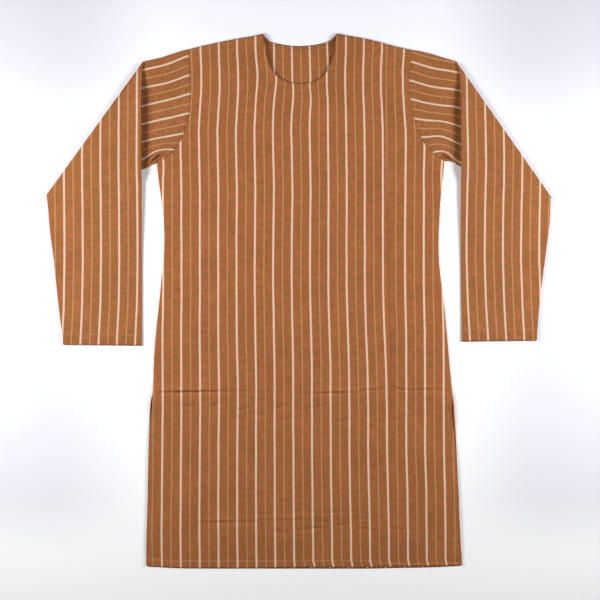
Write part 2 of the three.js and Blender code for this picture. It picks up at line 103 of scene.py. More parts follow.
RIGHT_ARMHOLE = [
    (218.5, 489.3), (218.6, 467), (214.7, 431.5), (217.2, 394.7), (224.6, 357.4), (238.1, 319.4),
    (263.1, 286.8), (283.5, 273),
]
LEFT_SHOULDER = [
    (-70.4, 521.2), (-84.4, 516.6), (-120.1, 510.9), (-155.4, 503.9), (-188.6, 496.7),
    (-212.5, 490.6),
]
RIGHT_SHOULDER = [
    (74.7, 521.5), (92, 517.5), (126.2, 511.7), (159.5, 503.9), (181.5, 497.8), (218.5, 489.3),
]
BACK_NECK = [
    (74.7, 521.5), (64.5, 510.7), (49.7, 503.3), (19.9, 497.8), (-13.1, 497.2), (-47.4, 503.3),
    (-59.3, 508.8), (-70.4, 521.2),
]
FRONT_NECK = [
    (74.7, 521.5), (70.6, 488.1), (66.1, 468.6), (54.2, 445.6), (40.8, 432.1), (19.9, 424.7),
    (-9.9, 424.1), (-35.3, 432.5), (-51.9, 449.3), (-63, 477.6), (-66.7, 495.5), (-70.4, 521.2),
]
PIECING_SEAM = [
    (170.2, 530), (168.4, 434.7), (171.2, 235.8), (176.5, -23.6), (178.4, -128.9), (180, -530),
]
# The front's hem is narrower towards its right side.
HEM_DEPTHS = [(-297, 14.4), (129, 14.4), (165, 9.5), (215, 6.4), (318, 6.4)]  # x, depth

LEFT_SLEEVE = {
    "name": "sleeve_left",
    "cuff_sewn": 20.5,
    "outward": -1,
    "armhole": LEFT_ARMHOLE,
    "fold_top": (-303.4, 461.8),
    "fold_bottom": (-490.4, 203.2),
    "cap_top": [
        (-212.5, 490.6), (-224.4, 488.4), (-245.3, 482), (-263.2, 476), (-281.2, 471.5),
        (-303.4, 467),
    ],
    "cap_under": [
        (-276.5, 268), (-288, 264.5), (-306.5, 255.3), (-400, 228), (-490.4, 203.2),
    ],
    "inner_edge": [(-303.4, 461.8), (-305.6, 400), (-305.6, -87)],
    "outer_edge": [
        (-490.4, 203.2), (-484.8, 135.3), (-477.9, 83.1), (-470.5, 12.3), (-459.2, -85),
    ],
    # where the stripe nearest the inner edge runs: y, distance from that edge
    "stripe_drift": [
        (460, 9.6), (375, 8.7), (284, 9.2), (180, 8.6), (84, 8.2), (-10, 9.6), (-87, 13.4),
    ],
    "stripe_repeat": 35.6,
    # the cap's first stripe and its repeat, at the armhole and at the folded edge
    "cap_first": (479, 450.8),
    "cap_repeat": (37.6, 35.3),
    # x, y, half length, half width, turn, height
    "cap_creases": [
        (-279.9, 281.3, 13, 2.1, 41, 5.6),
        (-277.4, 278.5, 11, 1.5, 41, -3.4),
        (-275.1, 275.8, 11, 1.9, 41, 5.2),
        (-266, 284, 9, 2.6, -30, 1.2),
        (-262, 300, 34, 7, -28, 1),
        (-250, 400, 60, 9, 70, 0.6),
        (-280, 350, 50, 8, 78, 0.5),
    ],
    # where the cap's stripes sag or arch: x, y, reach along, reach up, rise
    "cap_drifts": [(-258, 445, 36, 50, -4.7), (-262, 290, 34, 20, 11), (-268, 282, 24, 14, 7)],
}
RIGHT_SLEEVE = {
    "name": "sleeve_right",
    "cuff_sewn": 22.4,
    "outward": 1,
    "armhole": RIGHT_ARMHOLE,
    "fold_top": (307, 461.6),
    "fold_bottom": (490.4, 199.8),
    "cap_top": [
        (218.5, 489.3), (234.4, 487.2), (256.8, 482), (279, 475.2), (307, 467),
    ],
    "cap_under": [
        (283.5, 273), (303.6, 269.6), (316.5, 261.5), (400, 230), (490.4, 199.8),
    ],
    "inner_edge": [(307, 461.6), (314.1, 430), (315.6, 265), (315.6, 99.3), (317.7, -79)],
    "outer_edge": [
        (490.4, 199.8), (489.5, 157.8), (483.8, 109.2), (470.5, 3.7), (464.1, -77),
    ],
    "stripe_drift": [(460, 13), (375, 12), (278, 13.6), (180, 12.2), (84, 11.2), (-10, 13), (-79, 16)],
    "stripe_repeat": 35.4,
    "cap_first": (467, 447),
    "cap_repeat": (36.6, 35.3),
    "cap_creases": [
        (290.7, 282.7, 11, 2.1, -37, 5.6),
        (288.5, 279.8, 8, 1.7, -37, -3.4),
        (286.4, 277, 9, 1.9, -37, 5.2),
        (266, 318, 32, 8, 20, 1.2),
        (252, 400, 60, 9, -70, 0.6),
        (284, 350, 50, 8, -78, 0.5),
    ],
    "cap_drifts": [
        (258, 430, 34, 60, -4),
        (304, 374, 18, 30, 2.2),
        (276, 308, 28, 42, 11),
        (282, 284, 26, 16, 10),
    ],
}

# Where stripes of the front lie at each height: the left, middle and right ones of the main width,
# with the others evenly between them, then the first one of the joined width, and how far left of
# it a faint one runs, which is lost in the seam lower down.
STRIPES_BEFORE_MIDDLE = 5
FRONT_STRIPES = [  # y, left, middle, right, first joined, gap to the faint one
    (490, -191.6, -13.2, 162.1, 205.3, 34.1),
    (450, -189.9, -13.1, 160, 202.5, 32),
    (411, -190.3, -12.9, 160, 202.9, 32.5),
    (372, -192.8, -13.6, 162.1, 205.3, 34.5),
    (333, -194.8, -14.6, 163.8, 208.4, 37.3),
    (294, -194.2, -13.6, 163.8, 208.6, 37.5),
    (216, -192.5, -12.1, 164, 207.8, 36),
    (138, -192.8, -13, 164, 207, 36.5),
    (21, -192.4, -13.2, 164.4, 207.2, 36),
    (-57, -193, -12.3, 166.6, 209.2, 35.5),
    (-135, -192.6, -11.1, 170.1, 209.45, 35.9),
    (-213, -192.4, -10.9, 172, 209.7, 36.3),
    (-291, -192.8, -10.3, 172.6, 209.9, 36.5),
    (-369, -193.2, -9.9, 174.4, 212.1, 36.7),
    (-447, -193.6, -9.3, 175.9, 212.7, 36.9),
    (-516, -192.8, -8.6, 176.3, 213.1, 36.9),
]
SIDE_REPEAT = 36.5
HEM_KINK = 2.4  # how far the turned hem pulls the stripes to the right
KINK_HEIGHT, KINK_REACH = 14, 12
BACK_STRIPES = [  # y, one stripe, repeat
    (512, -48.4, 34.4),
    (440, -47.4, 34.9),
    (300, -48, 36),
    (-522, -48, 36.3),
]
# Places where the cloth has slid sideways under the hand: x, y, reach, shift.
DRIFTS = [
    (-46, 436, 34, 4.2),
    (-84, 440, 34, 1.6),
    (52, 430, 32, -1.8),
    (-12, 397, 24, 1.6),
    (22, 393, 24, 2),
    (-266, 262, 26, 2.4),
    (280, 245, 36, -3.2),
    (-120, 395, 60, 1.2),
    (-60, 60, 90, -0.8),
    (60, -90, 80, 0.8),
    (-130, -180, 60, 1.4),
    (120, -330, 90, -0.9),
]

# Folds of the laid front, as the part has them: x, y, half length, half width, turn, height.
FRONT_FOLDS = [
    (0, 440, 130, 90, 0, 2.4),
    (-110, 330, 150, 60, 62, 2.2),
    (130, 320, 140, 60, -58, 2),
    (-40, 150, 220, 90, 84, 1.8),
    (110, 60, 200, 80, -80, 1.4),
    (-150, -173, 130, 34, 2, 1.6),
    (120, -178, 170, 34, 3, 1.1),
    (-20, -330, 230, 100, 78, 1.6),
]
FOLD_FADE = 70
SHOULDER_FLAT = 510  # the folds end below this height
# Smaller creases, ridges where the height is positive and troughs where it is negative.
FRONT_CREASES = [
    (-212, -172.6, 60, 3, 1, 2.7),  # the crease of storage across the skirt
    (-214, -178.6, 60, 2.8, 1, -2.5),
    (-120, -176, 40, 3.4, -2, -0.5),
    (-40, -176, 36, 3, 1, -0.45),
    (68, -174.6, 42, 3, 1, 1.6),
    (66, -180.4, 40, 2.8, 1, -1.7),
    (140, -168.4, 17, 3, 0, 1.3),
    (140, -174.4, 17, 2.6, 0, -1.3),
    (192, -166, 16, 2.8, -16, 1.2),
    (194, -171, 16, 2.6, -16, -1.2),
    (246, -168, 34, 3, 0, 1.1),
    (246, -174, 36, 2.6, 0, -1.1),
    (-92, -180, 20, 2.4, 0, -0.5),
    (-20, -180, 30, 2.4, 3, -0.6),
    (-214, -153, 18, 3, 4, -0.7),
    (-212, -205, 15, 3.6, 0, -2.2),  # soft dents below it
    (-163, -204, 9, 4.4, 20, -2.3),
    (-145, -216, 10, 3.8, -20, -2.3),
    (-127, -228, 9, 4.2, -10, -2.2),
    (-110, -212, 9, 4, 20, -2.3),
    (-70, -222, 10, 4, 0, -2.2),
    (-38, -208, 9, 4, 20, -2.3),
    (-20, -232, 22, 3.4, 12, -1.5),
    (245, -199, 12, 5, 30, -2.2),
    (224, -225, 15, 4.4, 14, -2.1),
    (193, -235, 10, 4.4, 0, -1.9),
    (86, -234, 11, 4.4, 6, -2.1),
    (36, -206, 22, 3.2, 10, -1.5),
    (-150, -426, 34, 3.2, 1, 1.1),  # a second one lower down, broken into short marks
    (-150, -432, 34, 2.8, 1, -1.2),
    (-92, -432, 12, 2.8, 0, -1.2),
    (-16, -421, 66, 4.2, 2, 1.1),
    (-57, -415.5, 8, 2.6, 0, -1),
    (-38, -450, 15, 3.6, -12, -1.6),
    (26, -444, 22, 3.4, 3, -1.6),
    (54, -430, 10, 2.6, 0, -1.2),
    (70, -413, 30, 2.6, 2, -1.1),
    (86, -436, 12, 2.8, 6, -1.4),
    (128, -425, 11, 2.6, 0, -1.3),
    (127, -445, 13, 3, -8, -1.5),
    (196, -445, 17, 2.8, -3, -1.5),
    (-232, 296, 40, 5, 40, 0.9),  # pulls at the underarms
    (-214, 280, 46, 6, 34, -0.6),
    (-236, 262, 44, 6, 12, 0.5),
    (236, 300, 40, 5, -44, 0.9),
    (222, 284, 44, 6, -36, -0.6),
    (244, 264, 40, 6, -10, 0.5),
    (-180, 430, 60, 8, 80, 0.35),  # beside the armholes
    (186, 410, 60, 8, -82, 0.35),
    (-104, 468, 46, 9, -22, 0.4),  # from the neck to the shoulders
    (108, 466, 46, 9, 24, 0.4),
    (-62, 380, 60, 12, -58, 0.5),
    (52, 372, 64, 12, 56, 0.5),
    (-250, 120, 60, 12, 84, 0.5),  # at the waist
    (258, 118, 60, 12, -84, 0.5),
    (-190, 20, 120, 14, 82, 0.4),
    (-90, -60, 160, 16, 88, 0.45),
    (60, -30, 170, 16, -86, 0.4),
    (220, -60, 110, 12, -88, 0.4),
    (-220, -330, 120, 13, 88, 0.5),
    (-70, -380, 110, 16, 86, 0.4),
    (70, -340, 130, 16, -88, 0.4),
    (240, -360, 110, 13, -88, 0.45),
    (176, -114, 26, 4, 88, -0.7),  # pucker of the piecing seam
    (183, -100, 22, 4, 84, 0.5),
]
# Creases of the folded sleeves, measured outward from the inner edge: out, y, half length,
# half width, turn, height.
SLEEVE_CREASES = [
    (20, 250, 60, 8, 88, 0.7),
    (70, 210, 70, 10, 64, 0.5),
    (120, 150, 60, 9, 72, 0.5),
    (40, 90, 80, 10, 86, 0.45),
    (100, 20, 70, 9, 84, 0.5),
    (60, -40, 40, 8, 20, 0.35),
    (150, 90, 60, 7, 80, 0.5),
    (50, 340, 50, 9, 60, 0.5),
    (90, 300, 60, 10, 52, 0.45),
]


def smooth(value):
    t = np.clip(value, 0.0, 1.0)
    return t * t * (3 - 2 * t)


def between(value, low, high):
    """0 below low, 1 above high and a smooth step between."""
    return smooth((value - low) / (high - low))


def bell(distance, reach):
    """1 at no distance, and less the further away, on both sides."""
    return np.exp(-((distance / reach) ** 2))


def mix(a, b, t):
    return a + (b - a) * t


def spline(rows, count):
    """Points on the curve through rows of (x, y) that the part's outlines follow."""
    p = np.array(rows, float)
    last = len(p) - 1
    t = np.linspace(0, last, count)
    i = np.minimum(t.astype(int), last - 1)
    w = (t - i)[:, None]
    before, start, end, after = p[np.maximum(i - 1, 0)], p[i], p[i + 1], p[np.minimum(i + 2, last)]
    pull_start, pull_end = (end - before) / 2, (after - start) / 2
    cubic = 2 * start - 2 * end + pull_start + pull_end
    square = 3 * end - 3 * start - 2 * pull_start - pull_end
    return cubic * w**3 + square * w**2 + pull_start * w + start


def evenly(points, count):
    """The same curve with its points at equal distances."""
    steps = np.hypot(*np.diff(points, axis=0).T)
    run = np.concatenate([[0], np.cumsum(steps)])
    at = np.linspace(0, run[-1], count)
    return np.stack([np.interp(at, run, points[:, k]) for k in (0, 1)], axis=1)


def column(rows, index, y):
    """One column of a table whose first column is a height that falls from row to row."""
    table = np.array(rows, float)[::-1]
    return np.interp(y, table[:, 0], table[:, index])


FINE = 400


def edge_of(side, armhole):
    """The x of a side seam and its armhole at any height."""
    skirt = spline([(row[side], row[0]) for row in SIDE_SEAMS], FINE)
    sleeve = spline(armhole, FINE)
    joined = np.concatenate([sleeve, skirt[1:]])[::-1]

    def at_height(y):
        return np.interp(y, joined[:, 1], joined[:, 0])

    return at_height


left_edge = edge_of(1, LEFT_ARMHOLE)
right_edge = edge_of(2, RIGHT_ARMHOLE)
HEM_CURVE = spline(HEM_LINE, FINE)
SEAM_CURVE = spline(PIECING_SEAM, FINE)[::-1]


def hem_edge(x):
    return np.interp(x, HEM_CURVE[:, 0], HEM_CURVE[:, 1])


def seam_x(y):
    return np.interp(y, SEAM_CURVE[:, 1], SEAM_CURVE[:, 0])


def front_left(y):
    return left_edge(y) + column(SLIT_SETBACK, 1, y)


def front_right(y):
    return right_edge(y) - column(SLIT_SETBACK, 2, y)


ROW_BANDS = [  # from this height, this far apart
    (-522, 0.6),
    (-518, 1.5),
    (-500, 5.5),
    (-456, 1.9),
    (-404, 5.5),
    (-240, 1.6),
    (-188, 1.1),
    (-160, 5.2),
    (UNDERARM, 0),
]


def row_heights(coarse=1.0):
    heights = []
    for (low, step), (high, _) in zip(ROW_BANDS, ROW_BANDS[1:]):
        count = max(2, round((high - low) / step / coarse))
        heights += list(np.linspace(low, high, count, endpoint=False))
    return heights


EDGE_SHARES = [0.15, 0.3, 0.45, 0.6, 0.8]  # extra columns within the first and last interval


def closer_at_edges(top):
    """The points of a top edge with more near both ends, and the share of the width of each."""
    last = len(top) - 1
    extra = np.array(EDGE_SHARES)
    at = np.sort(np.concatenate([np.arange(last + 1), extra, last - extra]))
    points = np.stack([np.interp(at, np.arange(last + 1), top[:, k]) for k in (0, 1)], axis=1)
    return points, at / last


# x, how far above the back's lower edge the front's lies
FRONT_HEM_SETBACK = [
    (-297, 0), (-90, 0.3), (20, 2.6), (150, 3), (270, 2.4), (300, 0.3), (318, 0),
]


def front_hem(x):
    """The front's lower edge lies a little above the back's, so that the back shows below it."""
    return hem_edge(x) + np.interp(x, *zip(*FRONT_HEM_SETBACK))


def panel_grid(left, right, top, heights, high_rows, lower_edge=hem_edge):
    """Plan points of a panel between two edges, from the hem up to the points of its top edge."""
    top, columns = closer_at_edges(top)
    lowest = SIDE_SEAMS[-1][0]
    start = lower_edge(mix(left(lowest), right(lowest), columns))
    rows = []
    for height in heights:
        y = mix(start, UNDERARM, (height - heights[0]) / (UNDERARM - heights[0]))
        rows.append((mix(left(y), right(y), columns), y))
    x_top, y_top = top[:, 0], top[:, 1]
    at_top = (x_top - left(y_top)) / (right(y_top) - left(y_top))
    for i in range(high_rows + 1):
        t = i / high_rows
        y = mix(UNDERARM, y_top, t)
        place = mix(columns, at_top, smooth(t))
        rows.append((mix(left(y), right(y), place), y))
    return np.array([row[0] for row in rows]), np.array([row[1] for row in rows])


def crease_height(creases, x, y):
    height = np.zeros_like(x)
    for cx, cy, half_long, half_wide, turn, size in creases:
        angle = math.radians(turn)
        dx, dy = x - cx, y - cy
        along = (dx * math.cos(angle) + dy * math.sin(angle)) / half_long
        across = (dy * math.cos(angle) - dx * math.sin(angle)) / half_wide
        height += size * np.exp(-(along**2 + across**2))
    return height


def hem_depth(x):
    return np.interp(x, *zip(*HEM_DEPTHS))


def in_hem(x, y):
    """1 inside the turned hem of the front and 0 above it."""
    return smooth((front_hem(x) + hem_depth(x) - y) / HEM_STEP)


def hem_roll(edge, y):
    """1 at a hem's folded edge, where the cloth rounds down, and 0 a few millimetres above it."""
    return bell(y - edge, HEM_ROUND)


def neck_distance(x, y):
    """How far a point lies from the front's neck edge."""
    edge = spline(FRONT_NECK, NECK_POINTS)
    gap = np.full(x.shape, np.inf)
    for ex, ey in edge:
        gap = np.minimum(gap, (x - ex) ** 2 + (y - ey) ** 2)
    return np.sqrt(gap)


HEM_ROUND = 1.1
HIDDEN_HEM = 2.4
FRONT_HEM_RISE = 1.5 * HEM_RISE
HEM_FLAT = 15  # the folds end this far above the hem
HEM_REST = 0.7  # how far the front sinks onto the back towards its hem
HEM_REST_REACH = 45
HEM_DROPS = (1.9, 0.5)  # how far its edge rounds down, level with the back's and set back
SETBACK = 3
SEAM_TROUGH = 2.6
ARMHOLE_DEPTHS = (0.9, 0.3)  # at the underarm and at the shoulder
ARMHOLE_REACH = 90
PIECING_DEPTH = 0.75
CREASE_FADE = 8
ABOVE_HEM = (4, 14)  # from here up the front never sinks into the back
SIDE_ROLL = 5.0
SIDE_DROP = 1.2
SLIT_TOP = -176
SLIT_HEM = 9
SLIT_STEP = 2
SLIT_RUN_IN = 12
SLIT_HEM_RISE = 0.35
SLIT_LIFT = 2.6  # the front stands up a little where the slit starts
SLIT_LIFT_AT = -203
SLIT_LIFT_REACH = 17
NECK_HEM = 5.0
NECK_STEP = 1.5
NECK_POINTS = 90
NECK_HEM_RISE = 0.4
NECK_LIFT = 6.0  # the front stands away from the back at the sides of the neck
NECK_REACH = 11
FOOT_LIFT_SHARE = 0.06
NECK_REST = 2.7  # and lies close to it at the foot
NECK_SINK = 22
NECK_FOOT = (430, 480)  # heights between which the foot, the sides and the top of the neck pass over
NECK_SIDES = (445, 505)
NECK_TOP = (508, 524)


def armhole_depth(y):
    low, high = ARMHOLE_DEPTHS
    return mix(low, high, smooth((y - UNDERARM) / ARMHOLE_REACH))


def front_folds(x, y, from_side):
    """The broad folds, which end before the shoulders, the sides and the hem."""
    shoulder = smooth((SHOULDER_FLAT - y) / FOLD_FADE)
    hem = smooth((y - hem_edge(x) - HEM_FLAT) / FOLD_FADE)
    fade = smooth(from_side / FOLD_FADE) * np.minimum(shoulder, hem)
    return crease_height(FRONT_FOLDS, x, y) * fade


def front_hem_relief(x, y):
    """The hem's double cloth, the front's rest on the back and the round of its lower edge."""
    edge = front_hem(x)
    rest = HEM_REST * (1 - smooth((y - edge) / HEM_REST_REACH))
    drop = mix(*HEM_DROPS, (edge - hem_edge(x)) / SETBACK)
    return FRONT_HEM_RISE * in_hem(x, y) - rest - drop * hem_roll(edge, y)


def seam_relief(x, y, from_side):
    """The troughs of the armhole and piecing seams and the roll of the side seams."""
    armhole = (y > UNDERARM) * bell(from_side, SEAM_TROUGH)
    side = (y <= UNDERARM) * (y > SLIT_TOP) * (1 - smooth(from_side / SIDE_ROLL))
    piecing = bell(x - seam_x(y), SEAM_TROUGH)
    return -armhole_depth(y) * armhole - SIDE_DROP * side - PIECING_DEPTH * piecing


def slit_relief(y, from_side):
    """The slit's turned edge, and the lift of the front where the slit starts."""
    turned = smooth((SLIT_TOP - y) / SLIT_RUN_IN) * (1 - smooth((from_side - SLIT_HEM) / SLIT_STEP))
    along = bell(y - SLIT_LIFT_AT, SLIT_LIFT_REACH)
    return SLIT_HEM_RISE * turned + SLIT_LIFT * np.exp(-from_side / SLIT_HEM) * along


def neck_relief(x, y):
    """The neck's turned edge, its stand at the sides and its sink at the foot."""
    near = neck_distance(x, y)
    turned = NECK_HEM_RISE * (1 - smooth((near - NECK_HEM) / NECK_STEP))
    standing = mix(FOOT_LIFT_SHARE, 1, between(y, *NECK_SIDES)) * (1 - between(y, *NECK_TOP))
    at_foot = 1 - between(y, *NECK_FOOT)
    lift = NECK_LIFT * np.exp(-near / NECK_REACH) * standing
    return turned + lift - NECK_REST * bell(near, NECK_SINK) * at_foot


def front_height(x, y):
    """Upper face of the front, with its folds, creases, seams and hems."""
    from_side = np.minimum(x - front_left(y), front_right(y) - x)
    z = FRONT_TOP + front_folds(x, y, from_side)
    z += crease_height(FRONT_CREASES, x, y) * smooth(from_side / CREASE_FADE)
    z += front_hem_relief(x, y) + seam_relief(x, y, from_side)
    z += slit_relief(y, from_side) + neck_relief(x, y)
    on_back = between(y - front_hem(x), *ABOVE_HEM)
    return np.maximum(z, (BACK_TOP + SHOWN_WALL) * on_back)


SEAM_MIRROR = -0.75  # the faint stripe beside the piecing seam comes once


def stripe_place(x, y):
    """Place across the cloth in stripe repeats: whole at a cream stripe, half at a tan one."""
    for cx, cy, reach, shift in DRIFTS:
        x = x - shift * np.exp(-(((x - cx) ** 2 + (y - cy) ** 2) / reach**2))
    in_turn = smooth((front_hem(x) + KINK_HEIGHT - y) / KINK_REACH)
    x = x - HEM_KINK * between(x, -30, 30) * in_turn
    first, middle, last, side, faint = (column(FRONT_STRIPES, k, y) for k in range(1, 6))
    half = STRIPES_BEFORE_MIDDLE
    width = np.where(x < middle, middle - first, last - middle)
    main = (x - middle) / width * half
    joined = (x - side) / np.where(x < side, faint, SIDE_REPEAT)
    joined = np.where(joined < SEAM_MIRROR, 2 * SEAM_MIRROR - joined, joined)
    return np.where(x < seam_x(y), main, joined)


def add_object(name, data):
    made = bpy.data.objects.new(name, data)
    bpy.context.scene.collection.objects.link(made)
    return made


def build_mesh(name, points, faces, uvs):
    """A mesh object in metres from points in millimetres, with one UV for each face corner."""
    mesh = bpy.data.meshes.new(name)
    mesh.from_pydata((points * MM).tolist(), [], faces.tolist())
    layer = mesh.uv_layers.new(name="cloth")
    layer.data.foreach_set("uv", uvs.astype(np.float32).ravel())
    mesh.polygons.foreach_set("use_smooth", [True] * len(mesh.polygons))
    mesh.update()
    return add_object(name, mesh)


def grid_faces(rows, columns):
    a = (np.arange(rows - 1)[:, None] * columns + np.arange(columns - 1)).ravel()
    return np.stack([a, a + 1, a + columns + 1, a + columns], axis=1)


def thicken(piece, wall):
    """Gives a sheet its wall, below the face that its normals point away from."""
    shell = piece.modifiers.new("wall", "SOLIDIFY")
    shell.thickness = wall * MM
    shell.offset = -1
    shell.use_rim = True
    return piece


def make_panel(name, grid, height, place, wall):
    x, y = grid
    rows, columns = x.shape
    points = np.stack([x, y, height(x, y)], axis=2).reshape(-1, 3)
    faces = grid_faces(rows, columns)
    flat = np.stack([place(x, y), y / STRIPE_REPEAT], axis=2).reshape(-1, 2)
    return thicken(build_mesh(name, points, faces, flat[faces.ravel()]), wall)


def top_points(stretches):
    """Top edge of a panel from left to right, with each stretch evenly divided."""
    parts = [evenly(spline(rows, FINE), count) for rows, count in stretches]
    joined = [parts[0]] + [part[1:] for part in parts[1:]]
    return np.concatenate(joined)


def shoulder_at(rows, x):
    """A shoulder's curve, and its height at one x."""
    line = spline(rows, FINE)
    return line, np.interp(x, line[:, 0], line[:, 1])


SHOULDER_HEIGHT = 505
FRONT_HIGH_ROWS, BACK_HIGH_ROWS = 76, 60
FRONT_SHOULDER_STEPS, FRONT_NECK_STEPS, NEAR_STEPS, FAR_STEPS = 40, 80, 28, 44
BACK_SHOULDER_STEPS, BACK_NECK_STEPS = 34, 40


def make_fronts():
    line, y = shoulder_at(RIGHT_SHOULDER, seam_x(SHOULDER_HEIGHT))
    x, half_gap = seam_x(y), SEAM_GAP / 2
    near = np.concatenate([line[line[:, 0] < x - 1], [[x - half_gap, y]]])
    far = np.concatenate([[[x + half_gap, y]], line[line[:, 0] > x + 1]])
    left = top_points(
        [(LEFT_SHOULDER[::-1], FRONT_SHOULDER_STEPS), (FRONT_NECK[::-1], FRONT_NECK_STEPS)]
    )
    top = np.concatenate([left, evenly(near, NEAR_STEPS)[1:]])

    def left_of_seam(height):
        return seam_x(height) - half_gap

    def right_of_seam(height):
        return seam_x(height) + half_gap

    rows = row_heights(), FRONT_HIGH_ROWS, front_hem
    main = panel_grid(front_left, left_of_seam, top, *rows)
    side = panel_grid(right_of_seam, front_right, evenly(far, FAR_STEPS), *rows)
    return (
        make_panel("front", main, front_height, stripe_place, SHOWN_WALL),
        make_panel("front_joined_width", side, front_height, stripe_place, SHOWN_WALL),
    )


# The back's edge curls up beside each slit: side, y, half length, how far in, half width, height.
SLIT_CURLS = [(-1, -201, 17, 0.9, 1.1, 3.0), (1, -216, 34, 2.2, 1.6, 3.0)]
BACK_HEM_DEPTH = 14
BACK_HEM_RISE = 0.4
BACK_HEM_DROP = 0.6


def back_height(x, y):
    edge = hem_edge(x)
    height = BACK_TOP + BACK_HEM_RISE * smooth((edge + BACK_HEM_DEPTH - y) / HEM_STEP)
    height -= BACK_HEM_DROP * hem_roll(edge, y)
    for side, cy, half_long, crest, half_wide, curl in SLIT_CURLS:
        inward = x - left_edge(y) if side < 0 else right_edge(y) - x
        across, along = (inward - crest) / half_wide, (y - cy) / half_long
        height += curl * np.exp(-(across**2 + along**2))
    return height


def back_hem(x):
    """The back's lower edge, hidden under the front's at the left."""
    return hem_edge(x) + HIDDEN_HEM * smooth((-60 - x) / 60)


def back_place(x, y):
    return (x - column(BACK_STRIPES, 1, y)) / column(BACK_STRIPES, 2, y)


UNDER_SEAM = 0.35  # the back reaches under the armhole seam, so that the surface doesn't show in it


def under_left(y):
    return left_edge(y) - UNDER_SEAM * (y > UNDERARM)


def under_right(y):
    return right_edge(y) + UNDER_SEAM * (y > UNDERARM)


def make_back():
    top = top_points(
        [
            (LEFT_SHOULDER[::-1], BACK_SHOULDER_STEPS),
            (BACK_NECK[::-1], BACK_NECK_STEPS),
            (RIGHT_SHOULDER, BACK_SHOULDER_STEPS),
        ]
    )
    grid = panel_grid(under_left, under_right, top, row_heights(1.6), BACK_HIGH_ROWS, back_hem)
    return make_panel("back", grid, back_height, back_place, BACK_TOP - 0.1)


NECK_SEWN = 6.2
FACING_WIDTH = 8
FACING_INSET = 1.5
FACING_TOP = BACK_TOP + 0.5
FACING_WALL = 0.4
FACING_STEPS, FACING_ROWS = 60, 6


def make_facing():
    edge = evenly(spline(BACK_NECK[::-1], FINE), FACING_STEPS)[2:-2]
    steps = np.linspace(0, 1, FACING_ROWS)[::-1]
    x = np.repeat(edge[None, :, 0], len(steps), axis=0)
    y = edge[None, :, 1] - FACING_INSET - FACING_WIDTH * steps[:, None]

    def lying(across, along):
        return np.full_like(across, FACING_TOP)

    return make_panel("neck_facing", (x, y), lying, back_place, FACING_WALL)


# The sleeves: flattened tubes whose rings are worked out flat and then folded over a line.
CAP_RINGS = 44
FOLD_RINGS = 10
LOWER_RINGS = 120
FACE_STEPS = 72
EDGE_STEPS = 8
EDGE_ROUND = 2.0
LEAST_SLANT = 0.5
UNDERARM_CROWDING = 0.45  # the points across a ring lie closer together at the underarm
INNER_PUFF = 5.6
PUFF_REACH = 30
LOW_PUFF_SHARE = 0.12  # what is left of the puff beyond the cap
OUTER_PUFF = 1.0
OUTER_PUFF_REACH = 14
CAP_LOWEST = 1.2  # the cap's upper layer stays above its lower one
EASE_HEIGHT, EASE_AT, EASE_REACH = 0.9, 9, 7  # the cap stands up a little beside its seam
PRESSED_DEPTH = 1.8  # the cap sinks towards the folded part that lies on it
PRESSED_REACH = 10
PRESSED_HEIGHTS = (452, 482)
PUFF_HEIGHTS = (60, 250)
CAP_FAR = 304.5  # how far out the folds' upper ends lie
CAP_REACH = 1.6  # how far the stripes' slant runs on, in shares of the cap's width
HIDDEN_STRIPE = 14
SLEEVE_LOWEST = 0.05


def unit(vector):
    return vector / np.hypot(*vector)


def fold_frame(sleeve):
    along = unit(np.subtract(sleeve["fold_bottom"], sleeve["fold_top"]))
    return along, sleeve["outward"] * np.array([-along[1], along[0]])


def unfold(sleeve, points):
    """Where points of the folded part lay before the fold."""
    _, normal = fold_frame(sleeve)
    inside = -(points - np.array(sleeve["fold_top"])) @ normal
    return points + normal * (2 * inside + math.pi * FOLD_RADIUS)[:, None]


def sleeve_rings(sleeve):
    """Both edges of each ring before the fold, and its share of the armhole's curve."""
    _, normal = fold_frame(sleeve)
    t = np.linspace(0, 1, CAP_RINGS)
    top = spline(sleeve["cap_top"], CAP_RINGS)
    top[-1] = sleeve["fold_top"]
    under = spline(sleeve["cap_under"], CAP_RINGS)
    reach = math.pi * FOLD_RADIUS * np.arange(1, FOLD_RINGS + 1)[:, None] / FOLD_RINGS
    fold_top = np.array(sleeve["fold_top"]) + normal * reach
    fold_under = np.array(sleeve["fold_bottom"]) + normal * reach
    inner = evenly(spline(sleeve["inner_edge"], FINE), LOWER_RINGS + 1)[1:]
    outer = evenly(spline(sleeve["outer_edge"], FINE), LOWER_RINGS + 1)[1:]
    tops = np.concatenate([top, fold_top, unfold(sleeve, inner)])
    unders = np.concatenate([under, fold_under, unfold(sleeve, outer)])
    armhole = np.concatenate([(1 - t) ** 2, np.zeros(len(tops) - CAP_RINGS)])
    return tops, unders, armhole


def section():
    """One closed section: place across, bulge past the edge, and height as a share."""
    even = np.linspace(0, 1, FACE_STEPS + 1)
    faces = mix(even, 1 - (1 - even) ** 2, UNDERARM_CROWDING)
    turn = np.pi / 2 - np.pi * np.arange(1, EDGE_STEPS) / EDGE_STEPS
    place = np.concatenate([faces, np.ones(len(turn)), faces[::-1], np.zeros(len(turn))])
    bulge = np.concatenate([0 * faces, np.cos(turn), 0 * faces, -np.cos(turn)])
    up = (1 + np.sin(turn)) / 2
    share = np.concatenate([0 * faces + 1, up, 0 * faces, up[::-1]])
    return place, bulge, share


def edge_insets(tops, unders, edge):
    """How far in from a ring's end the rounded edge starts, measured along the ring."""
    run = np.gradient(edge, axis=0)
    run /= np.hypot(run[:, 0], run[:, 1])[:, None]
    across = unders - tops
    across /= np.hypot(across[:, 0], across[:, 1])[:, None]
    slant = np.abs(run[:, 0] * across[:, 1] - run[:, 1] * across[:, 0])
    return EDGE_ROUND / np.maximum(LEAST_SLANT, slant)


